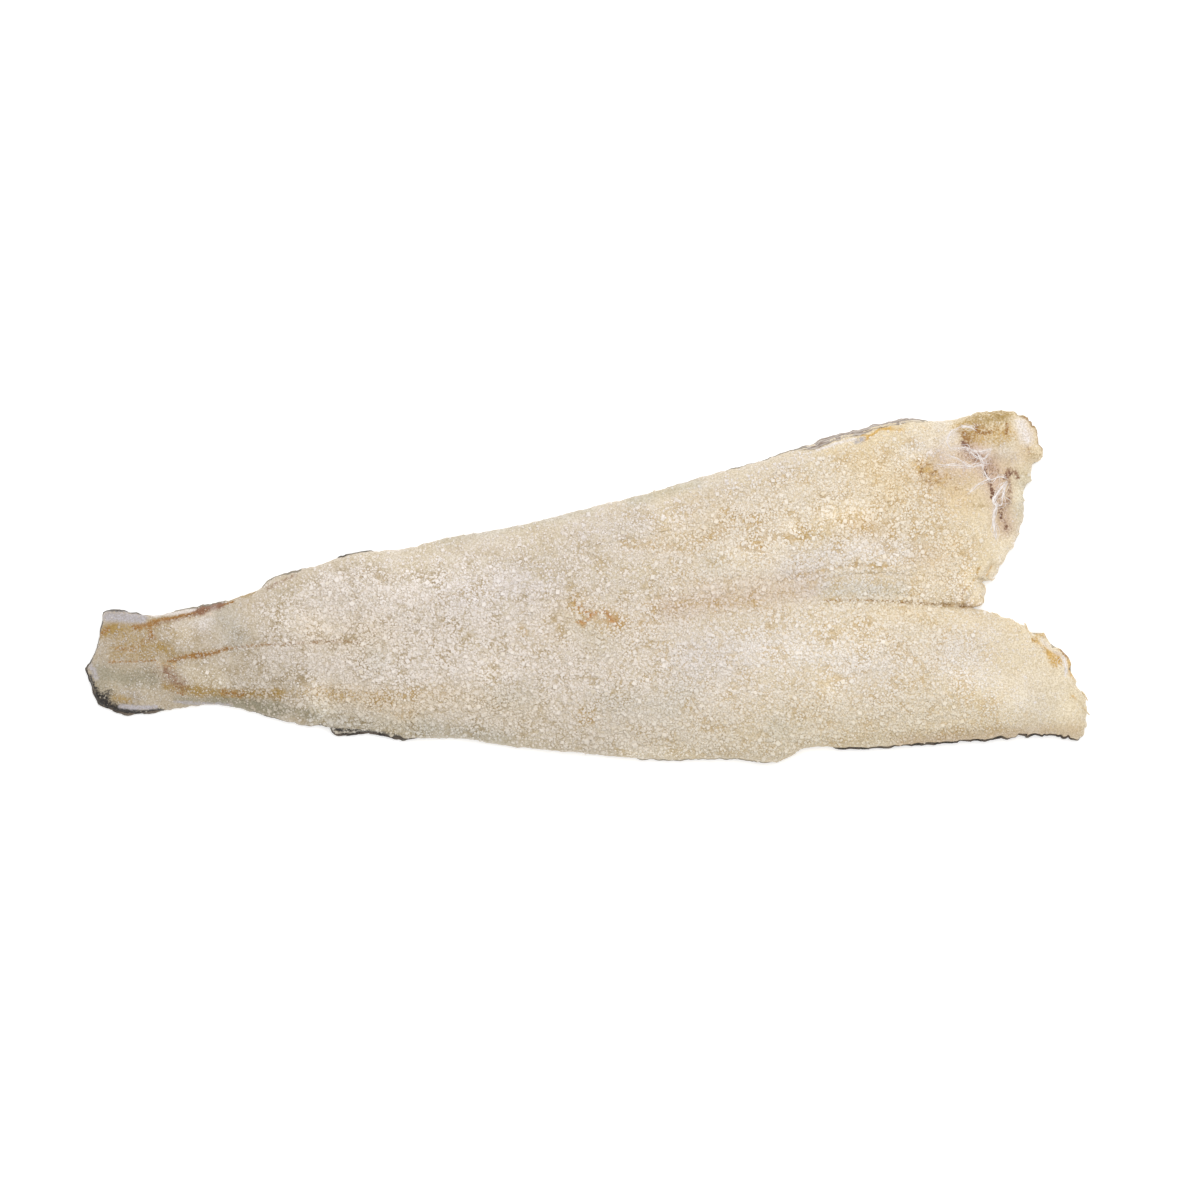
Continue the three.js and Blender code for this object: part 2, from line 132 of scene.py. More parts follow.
# Colours placed on the flesh
# Each is a line of places with its half width and strength, or one place with its radius.
STAINS = {
    "rust": [
        # the seam over the tail
        ([(-261, -41.4), (-249, -41.2), (-238, -40.6)], 0.8, 0.6),
        ([(-230, -40.8), (-227.5, -40.6), (-220, -38.4), (-213, -37.7), (-207, -37), (-198, -34)],
         1.4, 0.8),
        ([(-216, -38), (-213, -37.6), (-211, -37.8)], 1.5, 1),
        ([(-198, -34), (-184, -32.5), (-158, -31), (-134, -30), (-125.5, -30.5)], 1.3, 0.45),
        # the tail's upper side
        ([(-268, -26), (-264, -23.4)], 1.6, 0.8),
        ([(-249, -22.6), (-243, -21), (-238, -20)], 2, 0.85),
        ([(-241, -23), (-239, -28)], 2, 0.6),
        ([(-247, -32), (-241, -29)], 2.6, 0.4),
        ([(-259, -34), (-249, -34.6)], 1.8, 0.5),
        ([(-262.6, -41.2)], 1.6, 0.6),
        ([(-238, -18.8), (-228, -17.2), (-216, -14.2), (-208, -12.5)], 1.3, 0.95),
        ([(-202, -10.4), (-195, -8.2)], 0.8, 0.9),
        ([(-200, -58), (-189.4, -59.4)], 2.4, 0.6),
        ([(-225.5, -58.4), (-222.4, -59.5)], 0.7, 0.9),
        # the nape
        ([(213.5, 89), (213.5, 85.5), (216.5, 84.3), (221.6, 84.6)], 0.9, 1),
        ([(230.5, 89), (230, 84)], 0.9, 0.9),
        ([(206.5, 84), (208, 81.5), (209, 80.5)], 1.8, 0.8),
        ([(205, 84), (211, 83)], 3, 0.5), ([(214, 88), (226, 86)], 4, 0.3),
        ([(240, 93.6), (245, 90), (248, 84.6), (250.3, 76)], 0.9, 0.75),
        ([(181, 69), (183.5, 66), (182.6, 62), (185.6, 58)], 0.8, 0.7),
        ([(183.5, 66), (186.4, 67.6), (189.5, 67), (191, 64)], 0.8, 0.75),
        ([(182.6, 62), (186, 61), (189, 62), (193.6, 60.6)], 0.7, 0.6),
        ([(185.6, 58), (189, 56.6), (193, 58), (196, 56)], 0.8, 0.6),
        ([(189, 62), (187.6, 59), (189, 56.6), (188, 53)], 0.6, 0.6),
        ([(193.6, 60.6), (197, 61.6), (200, 58)], 0.6, 0.45), ([(202, 54), (204.5, 53)], 1, 0.6),
        ([(242, 76.5), (242.5, 72)], 0.9, 0.6),
        # the cracks and the plain lobe's end
        (FLAKE_CRACK, 0.9, 0.3),
        *((line, 0.7, 0.5) for line in SEAM_DASHES),
        ([(244.4, -29), (246.2, -29)], 0.9, 0.7),
        ([(259.7, -34.7), (261.8, -35.8), (264, -38.8)], 0.7, 0.9),
        ([(257.8, -38), (259.4, -40)], 1, 0.5),
    ],
    "ochre": [
        ([(-267, -25.5), (-260, -22.5)], 4, 0.8), ([(-260, -23), (-240, -21.5)], 4, 0.55),
        ([(-256, -27), (-244, -30)], 5, 0.4),
        ([(-260, -34), (-247, -34), (-236, -33)], 5, 0.5),
        ([(-235, -33.3), (-229, -34.5)], 3, 0.6),
        ([(-262, -39), (-240, -39)], 3, 0.45),
        ([(-231, -22), (-226, -26)], 3.5, 0.45),
        ([(-232, -40), (-205, -36)], 3, 0.45),
        ([(-232, -54.5), (-222, -56.5), (-214, -57.6)], 3, 0.8),
        ([(-214, -57.6), (-203, -58.5), (-188, -59), (-170, -58.5)], 3.2, 0.75),
        ([(-170, -60), (-145, -58), (-110, -62)], 5, 0.45),
        ([(-261, -61), (-252, -63)], 3, 0.6),
        ([(-197.5, -7), (-191, -5.6), (-184, -3)], 1.6, 0.7),
        ([(-176, -9), (-186, -9.5)], 3, 0.3),
        ([(-128, 10), (-108, 4)], 7, 0.3),
        ([(-91, -9.5), (-80, -5), (-64.5, -3.5), (-47, -3)], 1.4, 0.35),
        # the nape
        ([(206, 87), (216, 91), (229, 94)], 6, 0.72),
        ([(212, 82), (224, 80), (231, 83)], 5, 0.52),
        ([(208, 80)], 4, 0.5),
        ([(241.5, 76), (244, 71.5), (249, 72)], 2.4, 0.4),
        ([(236, 95.6), (243, 91.4), (248, 84.6), (250.3, 76)], 1.2, 0.85),
        ([(200, 58), (214, 50)], 7, 0.25),
        ([(212, 43.5), (220, 44.5)], 1.6, 0.4),
        ([(233, 61), (241, 62)], 2, 0.45),
        ([(246, -26.2), (251, -27)], 1, 0.6),
        ([(206, -9), (213, 6)], 3, 0.3),
        ([(120, 40), (190, 30)], 24, 0.16),
        ([(150, -82), (230, -78)], 4, 0.3),
    ],
    "amber": [
        ([(-220, -17), (-206, -14)], 3, 0.3),
        ([(-150, -57), (-115, -62), (-100, -70)], 8, 0.3),
        ([(-236, -42), (-228, -43.5)], 3.5, 0.35),
        ([(152.4, 80.6), (157.3, 84), (160.8, 86.5), (166.4, 86.8)], 0.9, 1),
        ([(150.7, 83.3), (155, 82.9)], 0.6, 0.8),
        ([(168, 86.5), (173, 86)], 2.2, 0.5),
        ([(183, 88), (188, 87)], 2.6, 0.3),
        # the nape
        ([(206, 86), (218, 83), (231, 84)], 7, 0.45), ([(166, 57), (184, 66)], 6, 0.3),
        ([(184, 66), (188, 60), (194, 59)], 6, 0.4),
        ([(148, 36), (156, 33)], 8, 0.3), ([(188, 17), (196, 15)], 7, 0.35),
        # the cracks and the plain lobe's end
        (FLAKE_CRACK, 0.9, 0.55),
        (FLAKE_SLIT, 0.9, 0.5),
        ([(244.3, -29), (246.4, -29.2)], 1.6, 0.9),
        ([(246, -26.4), (252.4, -27)], 0.8, 0.8),
        ([(247, -31.5), (251, -32.6), (253, -36)], 2, 0.5),
        ([(253.6, -37), (256.4, -42)], 2.6, 0.9),
        ([(257.6, -37.5), (260, -41)], 1.8, 0.9),
        ([(259.7, -34.7), (261.8, -35.8), (264.4, -39), (265.4, -44), (268, -51)], 1.4, 0.8),
        ([(265, -61), (266.5, -59.6), (268, -61.5)], 0.8, 0.7),
    ],
    "blood": [
        ([(-237, -20.4), (-224, -17.6), (-212, -14)], 1.8, 0.45),
        ([(-214, -12.6), (-206, -10.4), (-202.8, -10)], 3, 1),
        ([(-231.6, -47), (-228.5, -51), (-224, -54)], 5.4, 0.55),
        ([(-239, -46)], 4, 0.25),
        ([(-176, -1), (-169, 2.5), (-160.5, 6.5)], 1.4, 0.5),
        # the nape
        ([(229.5, 60), (231, 63.5), (235, 63), (236.5, 60)], 1.3, 1),
        ([(231, 60), (232, 53), (231, 46)], 2, 0.6),
        ([(206.5, 79), (208.5, 77)], 2, 0.9),
        ([(214, 71)], 2, 0.9),
        ([(206, 74), (216, 70), (222, 66)], 5, 0.4),
        ([(233, 70)], 4, 0.3),
        ([(224.5, 50), (228, 38), (231, 31)], 4, 0.4),
    ],
    "bruise": [
        ([(218, 64.5), (219.5, 60), (221.5, 55), (222, 48.5)], 1, 0.8),
        ([(223, 63), (227, 60)], 4, 0.35),
        ([(206.5, 78.6)], 1.2, 1), ([(214, 70.5)], 1.2, 1), ([(216.5, 66)], 1, 0.6),
        ([(231, 61.5), (232.6, 62.4)], 1.1, 1), ([(234.5, 60.5)], 0.9, 0.7),
        ([(223, 51)], 1.1, 1), ([(224, 46)], 1.1, 1), ([(226.5, 48.5)], 0.9, 0.9),
        ([(229, 51)], 0.9, 0.8), ([(227, 41), (228, 37.5)], 1.5, 0.7), ([(230, 33)], 1.1, 0.7),
    ],
    # where the dark skin shows through at the tail
    "black": [
        ([(-263.5, -58), (-267, -64)], 3, 0.6),
        ([(-273.6, -50), (-271, -57), (-269.5, -62)], 1.8, 0.75),
        ([(-269.6, -62.5), (-265, -66.6), (-258, -68.6), (-250, -69)], 4, 1),
        ([(-268, -62), (-263, -67), (-256, -69)], 2.4, 1),
        ([(-250, -69), (-243, -68.6), (-234, -68)], 1.2, 0.9),
        ([(-267.5, -14.2), (-264, -12.8), (-253, -13.4), (-245, -15.4)], 0.8, 0.85),
        ([(-267.6, -18), (-269.4, -27), (-271.6, -37), (-275.4, -44), (-275.4, -48)], 0.9, 0.7),
        # and along the plain lobe's edge
        ([(-147, -77), (-141, -78.6), (-126, -79.8), (-113, -80.8), (-104, -83)], 1.5, 0.8),
    ],
    "grey": [
        ([(-266, -48.5), (-252, -50.5), (-239, -50)], 7, 0.7),
        ([(-269, -56), (-262, -61)], 4, 0.5),
        ([(-226, -62), (-210, -63), (-205, -62)], 3, 0.6),
        ([(-203, -62.5), (-190, -64.5), (-172, -67)], 5.4, 0.95),
        ([(-168, -67.5), (-150, -70.5)], 4, 0.6),
    ],
    "pearl": [
        ([(-264, -16.5), (-256, -17), (-245, -17.5)], 3.2, 1),
        ([(-257, -66), (-248, -66.6), (-238, -66.4)], 1.4, 1),
        ([(-273.6, -44), (-271.4, -47), (-270.4, -50)], 2, 0.75),
        ([(-227, -63.5), (-196, -65)], 1.2, 0.7),
        ([(147.5, 79.6), (151.5, 81)], 1.7, 0.9),
    ],
    "membrane": [
        ([(-240, -16), (-229, -15), (-216, -12.5)], 1.2, 0.7),
        ([(-226, -22), (-212, -20)], 4, 0.4),
        ([(-210, -24), (-206, -12)], 4, 0.35),
        ([(126, 75), (140, 79.5), (147, 81)], 1.1, 0.8),
        # the nape
        ([(238, 89), (241.5, 81)], 4.8, 0.7),
        ([(206, 88), (211, 87.5)], 1, 0.8),
        ([(200, 75.5), (207, 76), (211, 74.5), (221.5, 75)], 1.4, 0.6),
        ([(195, 80), (202, 83)], 4, 0.5),
        ([(228, 74), (236, 70)], 5, 0.35),
        ([(220, 69.5), (216, 66.5), (217, 64.5)], 1.2, 0.5),
        ([(230, 57.5), (226, 52), (222.5, 47.5), (224.5, 44.5), (222.5, 38), (223.5, 30.5)], 1, 0.5),
        # the plain lobe's end
        ([(249, -29), (253, -33), (258, -37), (261.5, -38.4)], 1.5, 0.55),
        ([(261.8, -38.8), (262.7, -42), (262.5, -46), (262.3, -49)], 0.7, 0.9),
        ([(210, -47.6), (220, -53.4)], 1.6, 0.35),
        ([(234, -64), (238.6, -65.2)], 1.2, 0.5),
        ([(245.5, -63.7)], 1, 1), ([(266.8, -61)], 0.6, 0.9),
        ([(206, -1), (209.5, -7)], 3, 0.3),
    ],
}

# Broad soft changes of tone, each the share that it leaves of red, green and blue, and its places. Some
# are painted shade along the free edges, and painted light over the shaded flake and groove at the notch.
WASHES = {
    "cool_and_edge_shade": ((0.93, 0.945, 0.95), [
        # painted shade along the free edges: the plain lobe's lower edge from X -150 to -45 and the nape
        # lobe's edge from X -80 to 60; elsewhere a greyer, bluer tone
        ([(-201, -14), (-192, -28)], 8, 0.8),
        ([(-150, -72), (-120, -77), (-90, -79)], 7, 0.7), ([(-90, -78), (-45, -84)], 5, 0.7),
        ([(24, 47), (60, 57)], 3, 0.9), ([(71, 13)], 7, 0.4), ([(53, -57)], 9, 0.4),
        ([(-116, -39)], 8, 0.4), ([(-46, -60), (-32, -61)], 8, 0.45),
        ([(-4, -22), (6, -30)], 9, 0.4),
        ([(10, -62), (45, -66)], 9, 0.4), ([(104, -78)], 8, 0.5),
        ([(-80, 26), (0, 43)], 4, 0.6),
        ([(132, -2), (170, -2)], 6, 0.6),
        ([(240, 60), (238, 44)], 6, 0.8),
        ([(-269, -46)], 5, 0.9),
    ]),
    "dusk_and_edge_shade": ((0.955, 0.93, 0.915), [
        # painted shade along the plain lobe's lower edge, from X -210 to -184 and from 172 to 268;
        # elsewhere a purple-brown tone
        ([(-210, -64), (-184, -67)], 4, 0.7),
        ([(44, -12), (80, -8), (122, -1)], 7, 0.8),
        ([(60, -2), (75, -1), (128, 7)], 5, 0.4),
        ([(149, 33), (158, 29)], 8, 0.3), ([(185, 16)], 8, 0.4),
        ([(172, -87), (230, -82), (268, -80)], 5, 1),
        ([(192, 58), (205, 48)], 10, 0.6), ([(240, 72), (244, 92)], 6, 0.9),
        ([(214, 70), (232, 66)], 8, 0.6),
    ]),
    "pale_and_lifted_shade": ((1.1, 1.11, 1.12), [
        # the first two marks are painted light, lifting the shade of the flake and of the seam's groove
        # at the notch; the others brighten the flesh where given
        ([(209, 6), (212, -4)], 5, 0.6), ([(206, -7), (214, -8)], 3, 0.8), ([(112, 32)], 6, 0.5),
        ([(-120, 9), (-60, 4)], 12, 0.3), ([(-175, -16), (-150, -20)], 9, 0.5), ([(-53, -46)], 9, 0.4),
        ([(-165, -4), (-140, 5)], 8, 0.3),
        ([(-258, -54), (-244, -55)], 7, 0.8), ([(-215, -49), (-205, -52)], 8, 1),
        ([(-150, -57), (-146, -68)], 7, 0.8), ([(-222, -25)], 7, 0.8),
        ([(45, 38)], 8, 0.4), ([(96, -35), (154, -31)], 12, 0.35), ([(134, -53)], 9, 0.5),
        ([(205, -50), (232, -62)], 10, 0.5), ([(264, -68)], 8, 0.5),
        ([(20, -92), (60, -93)], 4, 0.6), ([(181, 71)], 6, 0.4),
        ([(144, 22), (168, 17)], 6, 0.3), ([(76, 18), (102, 20)], 6, 0.3),
        ([(130, 38), (150, 40)], 7, 0.5), ([(240, 86), (242, 80)], 4, 0.4),
        ([(228, 6), (234, 24)], 7, 0.6), ([(238, 50)], 5, 0.5),
    ]),
    "clean": ((0.985, 0.997, 1.04), [
        ([(60, -38), (110, -32), (160, -44)], 18, 0.7), ([(120, 0), (172, 3)], 7, 0.7),
        ([(-71, -6), (-20, 5)], 12, 0.4), ([(0, 30), (50, 42)], 10, 0.4),
        ([(204, -40), (250, -68)], 16, 1), ([(218, -24), (240, -38)], 9, 1), ([(268, -70)], 9, 0.5),
        ([(212, -6), (224, 4), (234, 24), (238, 40)], 8, 1), ([(112, 10), (144, 20), (170, 18)], 8, 0.9),
        ([(194, 88)], 6, 1), ([(181, 76), (192, 74)], 6, 0.9), ([(228, 74), (233, 82)], 8, 1),
        ([(66, 57), (95, 64), (120, 74)], 8, 1), ([(-251, -60)], 7, 1), ([(-256, -22)], 7, 0.8),
    ]),
    "warm": ((1.0, 0.98, 0.93), [
        ([(-140, -60), (-95, -68), (-110, -78)], 10, 0.6), ([(-150, -26), (-116, -28)], 12, 0.5),
        ([(-10, -16), (4, -24)], 12, 0.6), ([(-85, -60), (-30, -66)], 9, 0.5),
        ([(42, 26), (70, 37)], 9, 0.5), ([(140, 38), (160, 32)], 9, 0.4), ([(40, 52)], 6, 0.6),
        ([(152, 68), (166, 54)], 12, 1), ([(160, -13), (185, -15)], 5, 0.6), ([(203, 24)], 8, 0.6),
        ([(186, 64), (204, 48)], 8, 0.6), ([(170, 2), (192, 8)], 7, 0.4),
    ]),
    "pink": ((0.9, 0.85, 0.87), [
        ([(211, 75), (218, 68), (224, 56)], 8, 1),
        ([(227, 46), (229, 33)], 6, 0.8),
        ([(205, 64), (196, 70)], 8, 0.5),
    ]),
}

# Where the gaps in the crust are stained.
SEEPS = [
    ([(-6, -8.5), (-4.6, -11), (-1.5, -13.6), (1.8, -15.6), (4.4, -14.4)], 1.1, 0.9),
    ([(-6, -19.8), (-3.7, -19), (-1.6, -20.4), (0.4, -17.6), (1.8, -15.6)], 1, 0.85),
    ([(-3.7, -19), (-2.4, -22.4), (0.6, -23.6)], 0.8, 0.7),
    ([(7.4, -14), (9.8, -13.4), (12, -16), (12.9, -18.4), (14.8, -20.6)], 0.9, 0.85),
    ([(-4, -11), (3, -16), (13, -17)], 9, 0.6), ([(14, -20), (34, -21)], 5, 0.5),
    ([(-35, -25), (-18, -28)], 7, 0.35), ([(30, -10), (60, -9), (92, -8)], 4.5, 0.5),
    ([(21, 23), (41, 23), (53, 20), (64, 27), (72, 29)], 5, 0.5), ([(75, 34), (95, 26)], 8, 0.45),
    ([(-6, -70), (6, -74)], 6, 0.4), ([(-118, -60), (-80, -58)], 6, 0.4),
    ([(110, 30), (170, 34)], 14, 0.4),
    ([(182, 66), (200, 56)], 9, 0.45), ([(178, 18), (190, 22)], 7, 0.45),
    ([(150, -24), (165, -30)], 8, 0.3),
    ([(104, 3), (134, 10), (146, 12), (164, 11)], 1.2, 0.6),
    ([(84, 22), (96, 20)], 3, 0.5), ([(90, 38), (94, 33)], 2.5, 0.5),
    ([(162, 22), (167, 19.5)], 2.5, 0.5),
    *((line, 1.2, 0.6) for line in SEAM_DASHES),
]

# Where the salt has drifted together, and where it is thin, as a line, a half width and a strength.
SALT_DRIFTS = [
    ([(84, -2), (100, 3), (112, 6), (134, 15), (145, 26)], 5, 0.5),
    ([(140, 22), (158, 26), (172, 17)], 7, 0.55),
    ([(-110, -20), (-40, -30), (10, -40)], 22, 0.3),
    ([(-60, -60), (0, -70), (90, -66)], 14, 0.3),
    ([(20, 24), (60, 26), (100, 40)], 9, 0.25),
    ([(110, 60), (140, 66), (165, 62)], 9, 0.25),
]
SALT_GAPS = [
    ([(-110, 10), (-40, 24), (15, 35)], 9, 0.65),
    ([(-20, 5), (30, 6), (62, 8)], 7, 0.35),
    ([(40, 50), (110, 70), (170, 84)], 9, 0.55),
    ([(36, 42), (50, 28), (58, 18)], 8, 0.6), ([(-70, 12), (-20, 20), (10, 16)], 9, 0.4),
    ([(206, 88), (230, 92)], 9, 0.97), ([(-258, -17), (-242, -18)], 5, 0.95),
    ([(-266, -64), (-250, -68)], 5, 0.8), ([(-206, -22), (-190, -16)], 12, 0.5),
    ([(120, 3), (170, 5)], 6, 0.45),
    ([(86, -50), (194, -55)], 6, 0.45),
    ([(60, -20), (190, -20)], 8, 0.25),
    ([(232, -45), (262, -62)], 26, 0.9),
    ([(200, -18), (236, -30)], 8, 0.7),
    ([(225, 50), (236, 75), (215, 85)], 15, 0.95),
    ([(215, -2), (235, 35)], 10, 0.9),
    ([(205, 52), (190, 78)], 12, 0.5),
    ([(-252, -40), (-205, -36)], 30, 0.35),
]

# Where the dark skin shows past the flesh, as a line, a half width, how far past and how dark.
SKIN_EDGES = [
    ([(140, -89), (172.2, -86.2), (213.2, -84.4), (240.4, -80.4), (267.3, -82.9)], 5, 1.1, 1),
    ([(24, 49), (57, 58.6), (80, 65)], 4, 0.4, 0.3),
    ([(80, 65), (85.5, 66.6), (118.3, 76.7), (130, 79.8)], 4, 0.5, 0.55),
    ([(-138.6, -80.6), (-126, -80.8), (-113, -81.6), (-103, -83.4)], 4, 1.4, 1),
    ([(-103, -83.4), (-94.6, -83.3)], 3, 0.6, 0.9),
    ([(-275.6, -46.8), (-271.7, -58), (-264.8, -66.3), (-258, -68.9), (-250.8, -68.9), (-239.8, -67.8)],
     5, 1.1, 1),
    ([(-267, -14.3), (-258, -13.6), (-247, -14.6)], 3, 0.6, 0.9),
    ([(-268, -20), (-270, -33), (-275, -45)], 3, 0.5, 0.9),
    ([(-226, -13), (-201, -8.7)], 3, 0.8, 0.45),
    ([(-176, 0), (-168.9, 4.6), (-158, 8.4)], 4, 1, 0.5),
    ([(-135.9, 16.2), (-119.4, 18.4)], 3, 0.7, 0.9),
    ([(-184, -69), (-150, -77)], 4, 0.5, 0.6),
    ([(30, -95), (100, -96)], 4, 0.6, 0.35),
    ([(128.2, 79.5), (144.7, 84.4), (163.9, 88.8), (183.2, 91.6)], 5, 0.8, 0.42),
]
# Where the skin curls over the flesh.
SKIN_CURL = [(124, 78), (132, 81), (144.7, 84.6), (156.9, 88), (170, 91), (178, 91.8)]
CURL_REACH, LEAST_CURL = 2.8, 0.1

# Salt and tissue
# Each size of crystal: mm between its places, its least and most size, how far it stands up as a
# share of its size, and the most crystals.
COARSE = (4.6, 1.7, 2.5, -0.08, 1600)
MEDIUM = (2.05, 1.1, 1.9, 0, 9900)
SMALL = (1.6, 0.9, 1.4, 0.04, 16000)
FINE = (1.3, 0.6, 1, 0.1, 22000)
# How far from the middle their places reach, and how close the rows lie as a share of the spacing.
SALT_REACH, ROW_SHARE = (284, 104), 0.866

# Threads of white tissue over the cut nape, as a line and a radius.
STRANDS = [
    ([(229.9, 57.7), (226.1, 52.1), (222.6, 47.6), (224.3, 44.3), (222.6, 38.1), (223.5, 30.7),
      (223.9, 26.7)], 0.6),
    ([(199.7, 75.6), (206.8, 76.2), (211.2, 74.5), (221.5, 75.1)], 0.35),
    ([(190.7, 66.4), (200.2, 66.7), (211.4, 65.8), (215.9, 66.7), (219.8, 69.5)], 0.35),
    ([(217, 64.4), (221, 58.8), (226.1, 60.5), (229.9, 59.9)], 0.4),
    ([(221, 58.8), (214.2, 56), (208.6, 50.4)], 0.3),
    ([(205.7, 88), (210.9, 87.7), (213.4, 86.1)], 0.35),
    ([(206.8, 76.2), (213, 72), (217.5, 70.5), (221.5, 75.1)], 0.3),
    ([(214, 74), (217, 68), (217, 64.4)], 0.35),
    ([(196, 72), (203, 70.5), (211.4, 65.8)], 0.25),
    ([(229.9, 57.7), (228, 50), (227.5, 45), (224.3, 44.3)], 0.4),
    ([(199.7, 75.6), (197, 79.5), (199, 84), (205.7, 88)], 0.3),
    ([(262, -38.5), (262.6, -43), (262.9, -48)], 0.4),
]
# The threads of one strand, as a share of its radius and how far each strays from its line.
THREADS = [(0.6, 0), (0.45, 0.4), (0.4, 0.7), (0.35, 1), (0.3, 1.3), (0.3, 1.8), (0.25, 2.4)]
TUBE_SIDES = 6
# Torn fibres that stick out of the cut ends, as a line and a radius.
FRINGES = [
    ([(243.4, -26), (242.2, -22.8), (241.4, -21), (240.6, -20.2)], 0.45),
    ([(272.6, -66), (274.6, -68.4), (276.6, -70.8)], 0.55),
    ([(272.4, -57.4), (274.4, -60.4), (275.6, -63)], 0.4),
    ([(216, 2), (218.4, 0.4), (219.6, -2.6)], 0.45),
    ([(215.6, -4), (217.8, -6.4), (218, -9)], 0.4),
    ([(220.4, 5.4), (222.4, 3.6), (224.6, 5)], 0.4),
]


# Shape
def curve_through(points):
    """A smooth curve through points, as a function of the share of its length."""
    p = np.array(points, float)
    p = np.vstack([2 * p[0] - p[1], p, 2 * p[-1] - p[-2]])
    gaps = np.sqrt(np.linalg.norm(np.diff(p, axis=0), axis=1))
    t = np.linspace(0, 1, 40, endpoint=False)[:, None]
    pieces = []
    for i in range(1, len(p) - 2):
        d0, d1, d2 = gaps[i - 1:i + 2]
        p0, p1, p2, p3 = p[i - 1:i + 3]
        leave = ((p1 - p0) / d0 - (p2 - p0) / (d0 + d1) + (p2 - p1) / d1) * d1
        reach = ((p2 - p1) / d1 - (p3 - p1) / (d1 + d2) + (p3 - p2) / d2) * d1
        pieces.append(p1 + leave * t + (3 * (p2 - p1) - 2 * leave - reach) * t ** 2
                      + (2 * (p1 - p2) + leave + reach) * t ** 3)
    line = np.vstack(pieces + [p[-2:-1]])
    run = np.concatenate([[0], np.cumsum(np.linalg.norm(np.diff(line, axis=0), axis=1))])
    run /= run[-1]
    x, y = line.T
    return lambda share: np.stack([np.interp(share, run, x), np.interp(share, run, y)], -1)


def smooth(start, end, x):
    """From 0 at start to 1 at end, whichever is the larger."""
    t = np.clip((x - start) / (end - start), 0, 1)
    return t * t * (3 - 2 * t)


def along(stations, place):
    """A value that passes smoothly through (place, value) stations."""
    result = np.full(np.shape(place), float(stations[0][1]))
    for (p0, v0), (p1, v1) in zip(stations, stations[1:]):
        result = np.where(place >= p0, v0 + (v1 - v0) * smooth(p0, p1, place), result)
    return result


def crowded(steps, pull):
    """Even steps from 0 to 1, drawn together towards both ends."""
    t = np.linspace(0, 1, steps + 1)
    return t - pull * np.sin(2 * math.pi * t) / (2 * math.pi)


def lattice(x, y, size, seed):
    """Smooth random values from -1 to 1 that change over about size."""
    table = np.random.default_rng(seed).uniform(-1, 1, (256, 256))
    gx, gy = np.asarray(x) / size + 800.37, np.asarray(y) / size + 800.61
    ix, iy = np.floor(gx).astype(int), np.floor(gy).astype(int)
    fx, fy = gx - ix, gy - iy
    fx, fy = fx * fx * (3 - 2 * fx), fy * fy * (3 - 2 * fy)
    here = lambda dx, dy: table[(ix + dx) % 256, (iy + dy) % 256]
    low = here(0, 0) * (1 - fx) + here(1, 0) * fx
    high = here(0, 1) * (1 - fx) + here(1, 1) * fx
    return low * (1 - fy) + high * fy


def distance_to(x, y, line):
    """From each place to the nearest point of a line of joined places."""
    if len(line) == 1:
        return np.hypot(x - line[0][0], y - line[0][1])
    nearest = np.full(np.shape(x), np.inf)
    for (ax, ay), (bx, by) in zip(line, line[1:]):
        dx, dy = bx - ax, by - ay
        t = np.clip(((x - ax) * dx + (y - ay) * dy) / (dx * dx + dy * dy), 0, 1)
        nearest = np.minimum(nearest, np.hypot(x - ax - t * dx, y - ay - t * dy))
    return nearest


def close_to(x, y, line, half_width):
    return np.exp(-(distance_to(x, y, line) / half_width) ** 2)


class Lobe:
    """One side of the fish: u runs from the tail to the head end, s from the free edge to the seam."""

    def __init__(self, edge, tail_end, head_end, loin, flank, has_nape):
        self.edge, self.seam = curve_through(edge), curve_through(SEAM)
        self.tail, self.head = curve_through(tail_end), curve_through(head_end)
        self.loin, self.flank, self.has_nape = loin, flank, has_nape
        self.length = np.linalg.norm(self.edge(1.0) - self.edge(0.0))

    def plan(self, u, s):
        u1, s1 = u[..., None], s[..., None]
        corners = (self.edge(0.0) * (1 - u1) * (1 - s1) + self.edge(1.0) * u1 * (1 - s1)
                   + self.seam(0.0) * (1 - u1) * s1 + self.seam(1.0) * u1 * s1)
        return (self.edge(u) * (1 - s1) + self.seam(u) * s1 + self.tail(s) * (1 - u1)
                + self.head(s) * u1 - corners)

    def width(self, u):
        return np.linalg.norm(self.edge(u) - self.seam(u), axis=-1)

    def risen(self, u, s, radius):
        """From 0 on the outline to 1 at radius inside it, round as a bolster."""
        bolster = lambda d: np.sqrt(1 - (1 - np.minimum(d / radius, 1)) ** 2)
        return bolster(s * self.width(u)) * bolster(u * self.length) * bolster((1 - u) * self.length)

    def inside(self, u, s):
        """How far each place is from the outline, in mm."""
        return np.minimum(s * self.width(u), np.minimum(u, 1 - u) * self.length)


NAPE_LOBE = Lobe(NAPE_EDGE, NAPE_TAIL_END, NAPE_HEAD_END, NAPE_LOIN, NAPE_FLANK, True)
PLAIN_LOBE = Lobe(PLAIN_EDGE, PLAIN_TAIL_END, PLAIN_HEAD_END, PLAIN_LOIN, PLAIN_FLANK, False)


def wave(x, y):
    lengthwise = np.sin(x / WAVE_SIZE + 1.3 * np.sin(y / WAVE_SIZE))
    return WAVE_HEIGHT * lengthwise * np.cos(1.7 * y / WAVE_SIZE - x / (2.3 * WAVE_SIZE))


def flake_drop(x, y):
    (ax, ay), (bx, by) = FLAKE_FROM, FLAKE_TO
    dx, dy = bx - ax, by - ay
    reach = math.hypot(dx, dy)
    beyond = ((x - ax) * dy - (y - ay) * dx) / reach
    beside = ((x - ax) * dx + (y - ay) * dy) / reach
    return -FLAKE_DROP * smooth(0, FLAKE_BRINK, beyond) * smooth(reach, reach - 2 * FLAKE_BRINK, beside)


